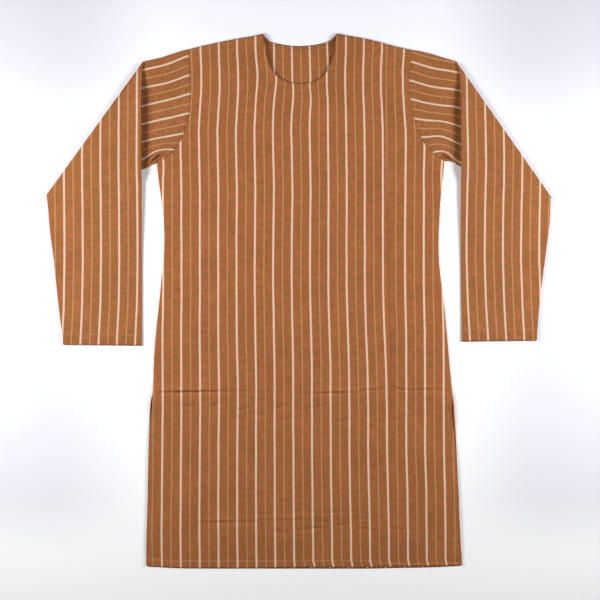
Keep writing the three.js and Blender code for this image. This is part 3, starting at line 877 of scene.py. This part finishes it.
def ring_points(sleeve):
    """Plan points of every ring before the fold, each ring a row, and their heights as shares."""
    tops, unders, armhole = sleeve_rings(sleeve)
    place, bulge, share = section()
    width = np.hypot(*(unders - tops).T)[:, None]
    inset_top = edge_insets(tops, unders, tops)[:, None]
    inset_under = edge_insets(tops, unders, unders)[:, None]
    span = mix(inset_top, width - inset_under, place[None, :]) / width
    edge = np.where(place[None, :] < 0.5, inset_top, inset_under)
    across = np.clip(span + bulge[None, :] * edge / width, 0, 1)
    plan = mix(tops[:, None, :], unders[:, None, :], across[..., None])
    rows = spline(sleeve["armhole"], FINE)
    straight = mix(rows[0], rows[-1], across[..., None])
    index = np.linspace(0, 1, FINE)
    curved = np.stack([np.interp(across, index, rows[:, k]) for k in (0, 1)], axis=-1)
    weight = armhole[:, None, None]
    plan = plan + (curved - straight) * weight
    plan[..., 0] += sleeve["outward"] * SEAM_SHOWN * armhole[:, None]
    return plan, share


def within(sleeve, edge, laid):
    """How far outward of one edge of the folded part points lie."""
    line = spline(sleeve[edge], FINE)[::-1]
    return sleeve["outward"] * (laid[..., 0] - np.interp(laid[..., 1], line[:, 1], line[:, 0]))


def on_cap(sleeve, laid):
    """1 where the folded part lies on the cap, and 0 once it has come down to the surface."""
    end = np.array(sleeve["fold_bottom"])
    under = unit(np.array(sleeve["cap_under"][-2]) - end)
    rest = laid - end
    below = sleeve["outward"] * -(rest[..., 0] * under[1] - rest[..., 1] * under[0])
    return 1 - smooth(below / DROP_LENGTH)


def fold_over(sleeve, plan, share):
    """Folds the flat sleeve: its plan, its heights, and how far each point is past the fold."""
    _, normal = fold_frame(sleeve)
    z = share[None, :] * SLEEVE_STACK + 0 * plan[..., 0]
    past = (plan - np.array(sleeve["fold_top"])) @ normal
    angle = np.clip(past / FOLD_RADIUS, 0, math.pi)
    radius = FOLD_AXIS - z
    beyond = np.maximum(0, past - math.pi * FOLD_RADIUS)
    moved = np.where(past > 0, radius * np.sin(angle) - beyond - past, 0)
    folded = np.where(past > 0, FOLD_AXIS - radius * np.cos(angle), z)
    return plan + normal * moved[..., None], folded, past, beyond


def lay_down(sleeve, laid, folded, beyond):
    """Heights once the folded part has sunk beyond the cap and sprung a little above it."""
    along, _ = fold_frame(sleeve)
    kept = np.where(beyond > 0, on_cap(sleeve, laid), 1)
    from_inner = np.maximum(0, within(sleeve, "inner_edge", laid))
    from_top = np.abs((laid - np.array(sleeve["fold_top"])) @ along)
    settled = smooth(from_top / FOLD_SETTLE) * smooth(beyond / FOLD_SETTLE)
    spring = FOLD_LIFT * np.exp(-from_inner / LIFT_REACH) * settled
    return folded - (SLEEVE_STACK + FOLD_AIR) * (1 - kept) + spring * kept


def folded_relief(sleeve, laid, beyond):
    """Puffed edges and creases of the folded part's upper layer."""
    from_inner = np.maximum(0, within(sleeve, "inner_edge", laid))
    from_outer = np.maximum(0, -within(sleeve, "outer_edge", laid))
    high_up = between(laid[..., 1], *PUFF_HEIGHTS)
    puff = mix(LOW_PUFF_SHARE, 1, high_up) * INNER_PUFF * np.exp(-from_inner / PUFF_REACH)
    puff += OUTER_PUFF * np.exp(-from_outer / OUTER_PUFF_REACH)
    wave = crease_height(SLEEVE_CREASES, from_inner, laid[..., 1])
    return puff * smooth(beyond / FOLD_SETTLE) + wave * smooth(beyond / CREASE_SETTLE)


def cap_relief(sleeve, laid):
    """Seam trough and the small pulls on the upper face of a cap."""
    rows = spline(sleeve["armhole"], FINE)[::-1]
    seam = np.interp(laid[..., 1], rows[:, 1], rows[:, 0])
    gap = np.abs(laid[..., 0] - seam)
    trough = -armhole_depth(laid[..., 1]) * bell(gap, SEAM_TROUGH)
    ease = EASE_HEIGHT * bell(gap - EASE_AT, EASE_REACH)
    pulls = crease_height(sleeve["cap_creases"], laid[..., 0], laid[..., 1])
    beside_fold = bell(within(sleeve, "inner_edge", laid), PRESSED_REACH)
    pressed = PRESSED_DEPTH * beside_fold * (1 - between(laid[..., 1], *PRESSED_HEIGHTS))
    return trough + ease + pulls - pressed


def before_fold(sleeve, plan):
    """How far points lay from the line that the fold turns into the inner edge."""
    _, normal = fold_frame(sleeve)
    downwards = np.array([0.0, -1.0])
    before = downwards - 2 * (downwards @ normal) * normal
    start = np.array(sleeve["fold_top"]) + normal * math.pi * FOLD_RADIUS
    return np.abs((plan - start) @ np.array([-before[1], before[0]]))


def cap_place(sleeve, laid):
    """Stripe places on the cap, where the stripes run across it."""
    out, tip = sleeve["outward"], sleeve["armhole"][0][0]
    reach = np.clip(out * (laid[..., 0] - tip) / (CAP_FAR - out * tip), 0, CAP_REACH)
    first = mix(*sleeve["cap_first"], reach)
    step = mix(*sleeve["cap_repeat"], np.minimum(reach, 1))
    height = laid[..., 1].copy()
    for cx, cy, along, up, rise in sleeve["cap_drifts"]:
        near = ((laid[..., 0] - cx) / along) ** 2 + ((laid[..., 1] - cy) / up) ** 2
        height -= rise * np.exp(-near)
    return (first - height) / step


def sleeve_place(sleeve, plan, laid, past):
    """Stripe places on the upper and the lower face of the tube, and along its length."""
    drift = column(sleeve["stripe_drift"], 1, laid[..., 1])
    repeat = sleeve["stripe_repeat"]
    inward = np.where(past > 0, within(sleeve, "inner_edge", laid), before_fold(sleeve, plan))
    under = -(inward - drift) / repeat - 1
    upper = np.where(past > 0, (inward - HIDDEN_STRIPE) / repeat, cap_place(sleeve, laid))
    length = np.where(past > 0, -laid[..., 1], sleeve["outward"] * laid[..., 0])
    return upper, under, length / STRIPE_REPEAT


def tube_faces(sleeve, rings, around):
    """The faces between a tube's rings, and the place of each around the tube."""
    r, k = np.meshgrid(np.arange(rings - 1), np.arange(around), indexing="ij")
    r, k = r.ravel(), k.ravel()
    after = (k + 1) % around
    corners = [
        r * around + k,
        r * around + after,
        (r + 1) * around + after,
        (r + 1) * around + k,
    ]
    if sleeve["outward"] < 0:
        corners = corners[::-1]
    return np.stack(corners, axis=1), k


def tube_uvs(faces, k, upper, under, length):
    """Each layer has its own stripes, and the inner edge blends from one to the other."""
    around = upper.shape[1]
    middle = FACE_STEPS + 1 + EDGE_STEPS // 2
    last_arc = 2 * (FACE_STEPS + 1) + EDGE_STEPS - 1
    turn = np.clip((np.arange(around) - last_arc + 1) / EDGE_STEPS, 0, 1)
    blended = mix(under, upper[:, :1], turn[None, :])
    on_upper = (k < middle)[:, None]
    closing = (k == around - 1)[:, None] & (faces % around == 0)
    place = np.where(on_upper | closing, upper.ravel()[faces], blended.ravel()[faces])
    return np.stack([place, length.ravel()[faces]], axis=2).reshape(-1, 2)


def make_sleeve(sleeve):
    plan, share = ring_points(sleeve)
    laid, folded, past, beyond = fold_over(sleeve, plan, share)
    folded_upper = np.where(beyond > 0, 1 - share[None, :], 0)
    cap_upper = np.where(past <= 0, share[None, :], 0)
    height = lay_down(sleeve, laid, folded, beyond)
    height = height + folded_upper * folded_relief(sleeve, laid, beyond)
    relief = height + cap_upper * cap_relief(sleeve, laid)
    height = np.where(cap_upper > 0.9, np.maximum(relief, CAP_LOWEST), relief)
    cuff_start = beyond.max(axis=0, keepdims=True) - CUFF_DEPTH
    cuff = smooth((beyond - cuff_start) / HEM_STEP)
    outside = np.where(beyond > 0, np.maximum(0, 1 - 2 * share[None, :]), 0)
    height = np.maximum(height + HEM_RISE * cuff * outside, SLEEVE_LOWEST)
    points = np.concatenate([laid, height[..., None]], axis=2).reshape(-1, 3)
    faces, k = tube_faces(sleeve, *height.shape)
    uvs = tube_uvs(faces, k, *sleeve_place(sleeve, plan, laid, past))
    return thicken(build_mesh(sleeve["name"] + "_cloth", points, faces, uvs), SHOWN_WALL)


# Materials


def sign(operation, swapped=False):
    """A Python sign that adds one Math node."""

    def apply(value, other):
        first, second = (other, value) if swapped else (value, other)
        return value.shader.maths(operation, first, second)

    return apply


class Value:
    """A socket that takes Python arithmetic."""

    def __init__(self, shader, socket):
        self.shader, self.socket = shader, socket

    __add__ = sign("ADD")
    __radd__ = sign("ADD", swapped=True)
    __sub__ = sign("SUBTRACT")
    __rsub__ = sign("SUBTRACT", swapped=True)
    __mul__ = sign("MULTIPLY")
    __rmul__ = sign("MULTIPLY", swapped=True)


MIX_FACTOR, MIX_A, MIX_B, MIX_RESULT = 0, 6, 7, 2  # a Mix node's sockets for colours


class Shader:
    """The node tree of one material."""

    def __init__(self, name):
        self.material = bpy.data.materials.new(name)
        self.material.use_nodes = True
        self.tree = self.material.node_tree
        self.tree.nodes.clear()

    def node(self, kind, settings=None, inputs=None):
        made = self.tree.nodes.new(kind)
        for key, value in (settings or {}).items():
            setattr(made, key, value)
        for key, value in (inputs or {}).items():
            self.feed(made.inputs[key], value)
        return made

    def feed(self, socket, value):
        source = value.socket if isinstance(value, Value) else value
        if isinstance(source, bpy.types.NodeSocket):
            self.tree.links.new(source, socket)
        else:
            socket.default_value = source

    def maths(self, operation, a, b=0.0):
        made = self.node("ShaderNodeMath", {"operation": operation}, {0: a, 1: b})
        return Value(self, made.outputs[0])

    def ramp(self, value, low, high):
        """0 below low, 1 above high and a smooth step between."""
        made = self.node(
            "ShaderNodeMapRange",
            {"interpolation_type": "SMOOTHSTEP"},
            {"Value": value, "From Min": low, "From Max": high},
        )
        return Value(self, made.outputs["Result"])

    def noise(self, vector, scale, detail=2.0, roughness=0.5):
        made = self.node(
            "ShaderNodeTexNoise",
            {"noise_dimensions": "3D"},
            {"Vector": vector, "Scale": scale, "Detail": detail, "Roughness": roughness},
        )
        return Value(self, made.outputs["Fac"])

    def stretched(self, vector, scale):
        made = self.node("ShaderNodeMapping", {}, {"Vector": vector, "Scale": scale})
        return made.outputs["Vector"]

    def blend(self, factor, a, b, mode="MIX"):
        settings = {"data_type": "RGBA", "blend_type": mode}
        made = self.node("ShaderNodeMix", settings, {MIX_FACTOR: factor, MIX_A: a, MIX_B: b})
        return made.outputs[MIX_RESULT]

    def shaded(self, colour, value):
        """A colour times a value."""
        grey = self.node("ShaderNodeCombineXYZ", {}, {0: value, 1: value, 2: value})
        return self.blend(1.0, colour, grey.outputs[0], "MULTIPLY")

    def bump(self, height, strength, distance):
        inputs = {"Strength": strength, "Distance": distance * MM, "Height": height}
        return self.node("ShaderNodeBump", {}, inputs).outputs[0]

    def finish(self, colour, roughness, normal, sheen, sheen_tint):
        settings = {
            "Base Color": colour,
            "Roughness": roughness,
            "Normal": normal,
            "Sheen Weight": sheen,
            "Sheen Roughness": 0.5,
            "Sheen Tint": sheen_tint,
            "Specular IOR Level": 0.25,
        }
        shader = self.node("ShaderNodeBsdfPrincipled", {}, settings)
        output = self.node("ShaderNodeOutputMaterial")
        self.tree.links.new(shader.outputs[0], output.inputs[0])
        return self.material


def linear(red, green, blue):
    """A colour given as it looks on a screen, in the units that a shader takes."""
    values = [c / 255 for c in (red, green, blue)]
    return tuple(c / 12.92 if c <= 0.04045 else ((c + 0.055) / 1.055) ** 2.4 for c in values) + (1.0,)


CREAM_HALF = 0.052  # half widths in repeats
TAN_HALF = 0.032
STRIPE_SOFT = 0.012
YARNS_IN_REPEAT = 72


def weave_height(shader, across, along, slubs):
    """Warp and weft, with the slubs of handspun yarn standing out."""
    warp, weft = (
        shader.maths("SINE", place * (2 * math.pi * YARNS_IN_REPEAT)) for place in (across, along)
    )
    slub_along, slub_across = slubs
    return warp * weft * 0.25 + slub_along * 0.7 + slub_across * 0.9


def cotton_ground(shader, uv, slubs, rust, gold):
    """Rust and olive yarns, lighter and darker along the slubs and over the whole cloth."""
    slub_along, slub_across = slubs
    fleck = shader.noise(shader.stretched(uv, (3.4, 4.4, 1)), 1.0, 4.0, 0.68)
    broad = shader.noise(uv, 0.55, 3.0, 0.55)
    nub = shader.noise(shader.stretched(uv, (5, 9, 1)), 1.0, 2.0, 0.5)
    warm = shader.ramp(fleck + slub_across * 0.3 - 0.15, 0.36, 0.64)
    shade = shader.ramp(slub_along * 0.5 + slub_across * 0.5, 0.25, 0.75) * 0.26 + 0.87
    ground = shader.shaded(shader.blend(warm, gold, rust), shade)
    return shader.shaded(ground, broad * 0.4 + 0.8 - shader.ramp(nub, 0.68, 0.78) * 0.3)


def striped_cotton(name, rust, gold, cream, tan):
    shader = Shader(name)
    uv = shader.node("ShaderNodeUVMap", {"uv_map": "cloth"}).outputs["UV"]
    parts = shader.node("ShaderNodeSeparateXYZ", {}, {"Vector": uv})
    across, along = Value(shader, parts.outputs["X"]), Value(shader, parts.outputs["Y"])
    slub_along = shader.noise(shader.stretched(uv, (34, 1.3, 1)), 1.0, 3.0, 0.6)
    slub_across = shader.noise(shader.stretched(uv, (1.4, 18, 1)), 1.0, 3.0, 0.6)
    slubs = slub_along, slub_across
    wander = shader.noise(shader.stretched(uv, (0.7, 0.5, 1)), 1.0, 3.0) - 0.5

    to_cream = shader.maths("PINGPONG", across + wander * 0.03, 0.5)
    to_tan = 0.5 - to_cream
    frayed = slub_along * 0.03 - 0.015
    cream_edge = CREAM_HALF - STRIPE_SOFT, CREAM_HALF + STRIPE_SOFT
    tan_edge = TAN_HALF - STRIPE_SOFT, TAN_HALF + STRIPE_SOFT + 0.004
    cream_mask = 1 - shader.ramp(to_cream + frayed, *cream_edge)
    tan_mask = 1 - shader.ramp(to_tan + frayed, *tan_edge)

    ground = cotton_ground(shader, uv, slubs, rust, gold)
    with_tan = shader.blend(tan_mask * (slub_across * 0.5 + 0.5), ground, tan)
    colour = shader.blend(cream_mask * (slub_across * 0.25 + 0.86), with_tan, cream)
    weave = weave_height(shader, across, along, slubs) + cream_mask * 0.5
    roughness = 0.94 - cream_mask * 0.1 - slub_along * 0.06
    normal = shader.bump(weave, 0.35, 0.25)
    return shader.finish(colour, roughness, normal, 0.12, linear(255, 220, 190))


def thread(name, colour, shade):
    shader = Shader(name)
    place = shader.node("ShaderNodeTexCoord").outputs["Object"]
    strands = shader.noise(place, 900.0, 2.0)
    twisted = shader.blend(strands, colour, shade)
    return shader.finish(twisted, 0.75, shader.bump(strands, 0.3, 0.1), 0.1, linear(255, 230, 200))


def floor_with_painted_falloff():
    shader = Shader("floor_with_painted_falloff")
    place = shader.node("ShaderNodeTexCoord").outputs["Object"]
    grain = shader.noise(place, 60.0, 2.0)
    paper = shader.blend(grain, linear(251, 251, 253), linear(254, 254, 254))
    parts = shader.node("ShaderNodeSeparateXYZ", {}, {"Vector": place})
    x, y = Value(shader, parts.outputs["X"]), Value(shader, parts.outputs["Y"])
    # The paper darkens towards the top, the sides and the corners: painted falloff of the lamps'
    # light, a little cooler at the top.
    towards_top = shader.ramp(y, 0.25, 0.6)
    colour = shader.blend(towards_top, paper, linear(237, 238, 247))
    sideways = shader.ramp(shader.maths("ABSOLUTE", x), 0.24, 0.5)
    towards_bottom = shader.ramp(0 - y, 0.36, 0.52)
    colour = shader.blend(sideways * (1 - towards_bottom), colour, linear(225, 226, 234))
    corners = sideways * shader.ramp(y, 0.3, 0.5)
    colour = shader.blend(corners, colour, linear(210, 211, 220))
    return shader.finish(colour, 0.8, shader.bump(grain, 0.02, 0.1), 0.0, linear(255, 255, 255))


# Sewing

STITCH = {"Step": 3.4, "Stitch length": 2.8, "Thread width": 0.85}


def stitch_tree(material):
    """Stitches along an edge chain: one small thread bead for each step of the seam."""
    tree = bpy.data.node_groups.new("stitches", "GeometryNodeTree")
    face = tree.interface
    face.new_socket("Geometry", in_out="INPUT", socket_type="NodeSocketGeometry")
    sockets = {
        name: face.new_socket(name, in_out="INPUT", socket_type="NodeSocketFloat").identifier
        for name in STITCH
    }
    face.new_socket("Geometry", in_out="OUTPUT", socket_type="NodeSocketGeometry")
    add = tree.nodes.new
    enter, leave = add("NodeGroupInput"), add("NodeGroupOutput")
    chain = add("GeometryNodeMeshToCurve")
    spaced = add("GeometryNodeResampleCurve")
    spaced.mode = "LENGTH"
    bead = add("GeometryNodeMeshIcoSphere")
    bead.inputs["Subdivisions"].default_value = 2
    bead.inputs["Radius"].default_value = 0.5
    tangent = add("GeometryNodeInputTangent")
    turn = add("FunctionNodeAlignRotationToVector")
    turn.axis = "X"
    size = add("ShaderNodeCombineXYZ")
    place = add("GeometryNodeInstanceOnPoints")
    real = add("GeometryNodeRealizeInstances")
    finish = add("GeometryNodeSetMaterial")
    finish.inputs["Material"].default_value = material
    for source, output, target, socket in (
        (enter, "Geometry", chain, "Mesh"),
        (chain, "Curve", spaced, "Curve"),
        (enter, "Step", spaced, "Length"),
        (spaced, "Curve", place, "Points"),
        (bead, "Mesh", place, "Instance"),
        (tangent, "Tangent", turn, "Vector"),
        (turn, "Rotation", place, "Rotation"),
        (enter, "Stitch length", size, "X"),
        (enter, "Thread width", size, "Y"),
        (enter, "Thread width", size, "Z"),
        (size, "Vector", place, "Scale"),
        (place, "Instances", real, "Geometry"),
        (real, "Geometry", finish, "Geometry"),
        (finish, "Geometry", leave, "Geometry"),
    ):
        tree.links.new(source.outputs[output], target.inputs[socket])
    return tree, sockets


def sew(name, lines, material):
    """One plain mesh of stitches along several lines of points in millimetres."""
    edges, start = [], 0
    for line in lines:
        edges += [(start + i, start + i + 1) for i in range(len(line) - 1)]
        start += len(line)
    mesh = bpy.data.meshes.new(name + "_path")
    mesh.from_pydata((np.concatenate(lines) * MM).tolist(), edges, [])
    path = add_object(name + "_path", mesh)
    tree, sockets = stitch_tree(material)
    modifier = path.modifiers.new("stitches", "NODES")
    modifier.node_group = tree
    for key, identifier in sockets.items():
        modifier[identifier] = STITCH[key] * MM
    ready = path.evaluated_get(bpy.context.evaluated_depsgraph_get())
    plain = bpy.data.meshes.new_from_object(ready)
    plain.name = name
    bpy.data.objects.remove(path)
    return add_object(name, plain)


THREAD_LIFT = 0.12
SLIT_SEWN = 8
SEWN_FROM, SEWN_TO = -186, -500
BAR_HEIGHT, BAR_ENDS = -183, -182
BAR_POINTS, HEM_POINTS, SLIT_POINTS = 6, 260, 120


def on_front(x, y):
    return np.stack([x, y, front_height(x, y) + THREAD_LIFT], axis=1)


def slit_bar(start, end):
    """The short row of stitches across the top of a slit's hem."""
    x = np.linspace(start, end, BAR_POINTS)
    return on_front(x, np.full_like(x, BAR_HEIGHT))


def front_stitch_lines():
    x = np.linspace(front_left(SEWN_TO) + 1, front_right(SEWN_TO) - 1, HEM_POINTS)
    y = np.linspace(SEWN_FROM, SEWN_TO, SLIT_POINTS)
    left, right = front_left(BAR_ENDS), front_right(BAR_ENDS)
    return [
        on_front(x, hem_edge(x) + hem_depth(x) + 0.5),
        on_front(front_left(y) + SLIT_SEWN, y),
        on_front(front_right(y) - SLIT_SEWN, y),
        slit_bar(left + 1, left + SLIT_SEWN),
        slit_bar(right - SLIT_SEWN, right - 1),
    ]


def neck_stitch_line():
    """The sewing of the facing, seen in the neck opening; its dark thread is partly painted shade of
    the facing's edge.
    """
    x, y = evenly(spline(BACK_NECK[::-1], FINE), FACING_STEPS)[5:-5].T
    return np.stack([x, y - NECK_SEWN, np.full_like(x, FACING_TOP + 0.1)], axis=1)


def cuff_stitch_line(piece, sleeve):
    """Where the sleeve's hem is sewn, at one distance from the cuff's edge."""
    folded = CAP_RINGS + FOLD_RINGS
    places = np.array([vertex.co for vertex in piece.data.vertices]) / MM
    places = places.reshape(folded + LOWER_RINGS, -1, 3)
    first = FACE_STEPS + EDGE_STEPS
    line = []
    for run in np.swapaxes(places[folded:, first : first + FACE_STEPS + 1], 0, 1):
        height = run[-1, 1] + sleeve["cuff_sewn"]
        line.append([np.interp(-height, -run[:, 1], run[:, k]) for k in range(3)])
    return np.array(line) + np.array([0, 0, THREAD_LIFT])


FLOOR_HALF = 6.0


def set_stage():
    mesh = bpy.data.meshes.new("floor")
    corners = [(-1, -1), (1, -1), (1, 1), (-1, 1)]
    mesh.from_pydata([(x * FLOOR_HALF, y * FLOOR_HALF, 0) for x, y in corners], [], [(0, 1, 2, 3)])
    floor = add_object("floor", mesh)
    floor.data.materials.append(floor_with_painted_falloff())


LAMPS = [  # name, place, what it shines at, width, length, watts
    ("left", (-1.3, 0.15, 0.8), (0, 0.15, 0.8), 0.22, 0.7, 30.5),
    ("right", (1.3, 0.15, 0.8), (0, 0.15, 0.8), 0.22, 0.7, 27.6),
    ("top", (0, 1.4, 1), (0, 0, 0), 0.5, 0.5, 2.2),
    ("bottom", (0, -1.5, 0.9), (0, 0, 0), 0.5, 0.5, 1.2),
]
SKY = 0.025


def set_light():
    scene = bpy.context.scene
    scene.view_settings.view_transform = "Standard"
    world = bpy.data.worlds.new("studio")
    scene.world = world
    world.use_nodes = True
    sky = world.node_tree.nodes["Background"]
    sky.inputs["Color"].default_value = (1.0, 1.0, 1.0, 1.0)
    sky.inputs["Strength"].default_value = SKY
    for name, place, target, width, length, watts in LAMPS:
        light = bpy.data.lights.new(name, "AREA")
        light.shape = "RECTANGLE"
        light.size = width
        light.size_y = length
        light.energy = watts
        lamp = add_object(name, light)
        lamp.location = place
        lamp.rotation_euler = (Vector(target) - lamp.location).to_track_quat("-Z", "Y").to_euler()


PHOTO_PIXELS = 600
PIXEL = 1.95  # millimetres of the garment for each pixel
PHOTO_CENTRE = (2.5, 1.8)
CAMERA_HEIGHT = 3.0


def set_camera():
    data = bpy.data.cameras.new("above")
    data.sensor_width = 36
    data.lens = data.sensor_width * CAMERA_HEIGHT / (PHOTO_PIXELS * PIXEL * MM)
    camera = add_object("above", data)
    camera.location = (PHOTO_CENTRE[0] * MM, PHOTO_CENTRE[1] * MM, CAMERA_HEIGHT)
    bpy.context.scene.camera = camera


def dress(piece, material, slot, *nodes):
    piece.data.materials.clear()
    piece.data.materials.append(material)
    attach(piece, "root")
    if nodes:
        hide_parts(*nodes)


set_camera()
set_light()
set_stage()

RUST, GOLD = linear(163, 93, 58), linear(141, 91, 39)
CREAM, TAN = linear(219, 186, 160), linear(188, 137, 94)
# The sleeves take a copy of the body's cotton that is a little darker and less red: painted shade that
# offsets the side lamps, which light the sleeves more than the body.
PAINTED_SHADE_SLEEVE_RUST, PAINTED_SHADE_SLEEVE_GOLD = linear(160, 93, 59), linear(138, 91, 40)
PAINTED_SHADE_SLEEVE_CREAM = linear(212, 181, 156)
body_cotton = striped_cotton("striped_cotton", RUST, GOLD, CREAM, TAN)
sleeve_cotton_painted_shade = striped_cotton("sleeve_cotton_painted_shade", PAINTED_SHADE_SLEEVE_RUST, PAINTED_SHADE_SLEEVE_GOLD, PAINTED_SHADE_SLEEVE_CREAM, TAN)
sewing = thread("sewing_thread", linear(212, 165, 122), linear(176, 128, 86))
# The neck's stitches are sewn in a dark thread: partly their own colour and partly painted shade of
# the facing's lower edge.
neck_thread_and_painted_shade = thread("neck_thread_and_painted_shade", linear(112, 70, 38), linear(88, 54, 28))

back = make_back()
front, joined = make_fronts()
facing = make_facing()
left_sleeve = make_sleeve(LEFT_SLEEVE)
right_sleeve = make_sleeve(RIGHT_SLEEVE)

dress(back, body_cotton, "striped_cotton_body", "back_panel")
dress(front, body_cotton, "striped_cotton_body", "front_panel")
dress(joined, body_cotton, "striped_cotton_body", "front_side_panel")
dress(facing, body_cotton, "facing_cotton", "back_neck_facing")
dress(left_sleeve, sleeve_cotton_painted_shade, "striped_cotton_sleeve", "sleeve_left")
dress(right_sleeve, sleeve_cotton_painted_shade, "striped_cotton_sleeve", "sleeve_right")

front_sewing = sew("front_stitches", front_stitch_lines(), sewing)
sleeves = (left_sleeve, LEFT_SLEEVE), (right_sleeve, RIGHT_SLEEVE)
cuff_sewing = sew("cuff_stitches", [cuff_stitch_line(*pair) for pair in sleeves], sewing)
neck_sewing_and_painted_shade = sew("neck_stitches_and_painted_shade", [neck_stitch_line()], neck_thread_and_painted_shade)
dress(front_sewing, sewing, "striped_cotton_body")
dress(cuff_sewing, sewing, "striped_cotton_sleeve")
dress(neck_sewing_and_painted_shade, neck_thread_and_painted_shade, "facing_cotton")
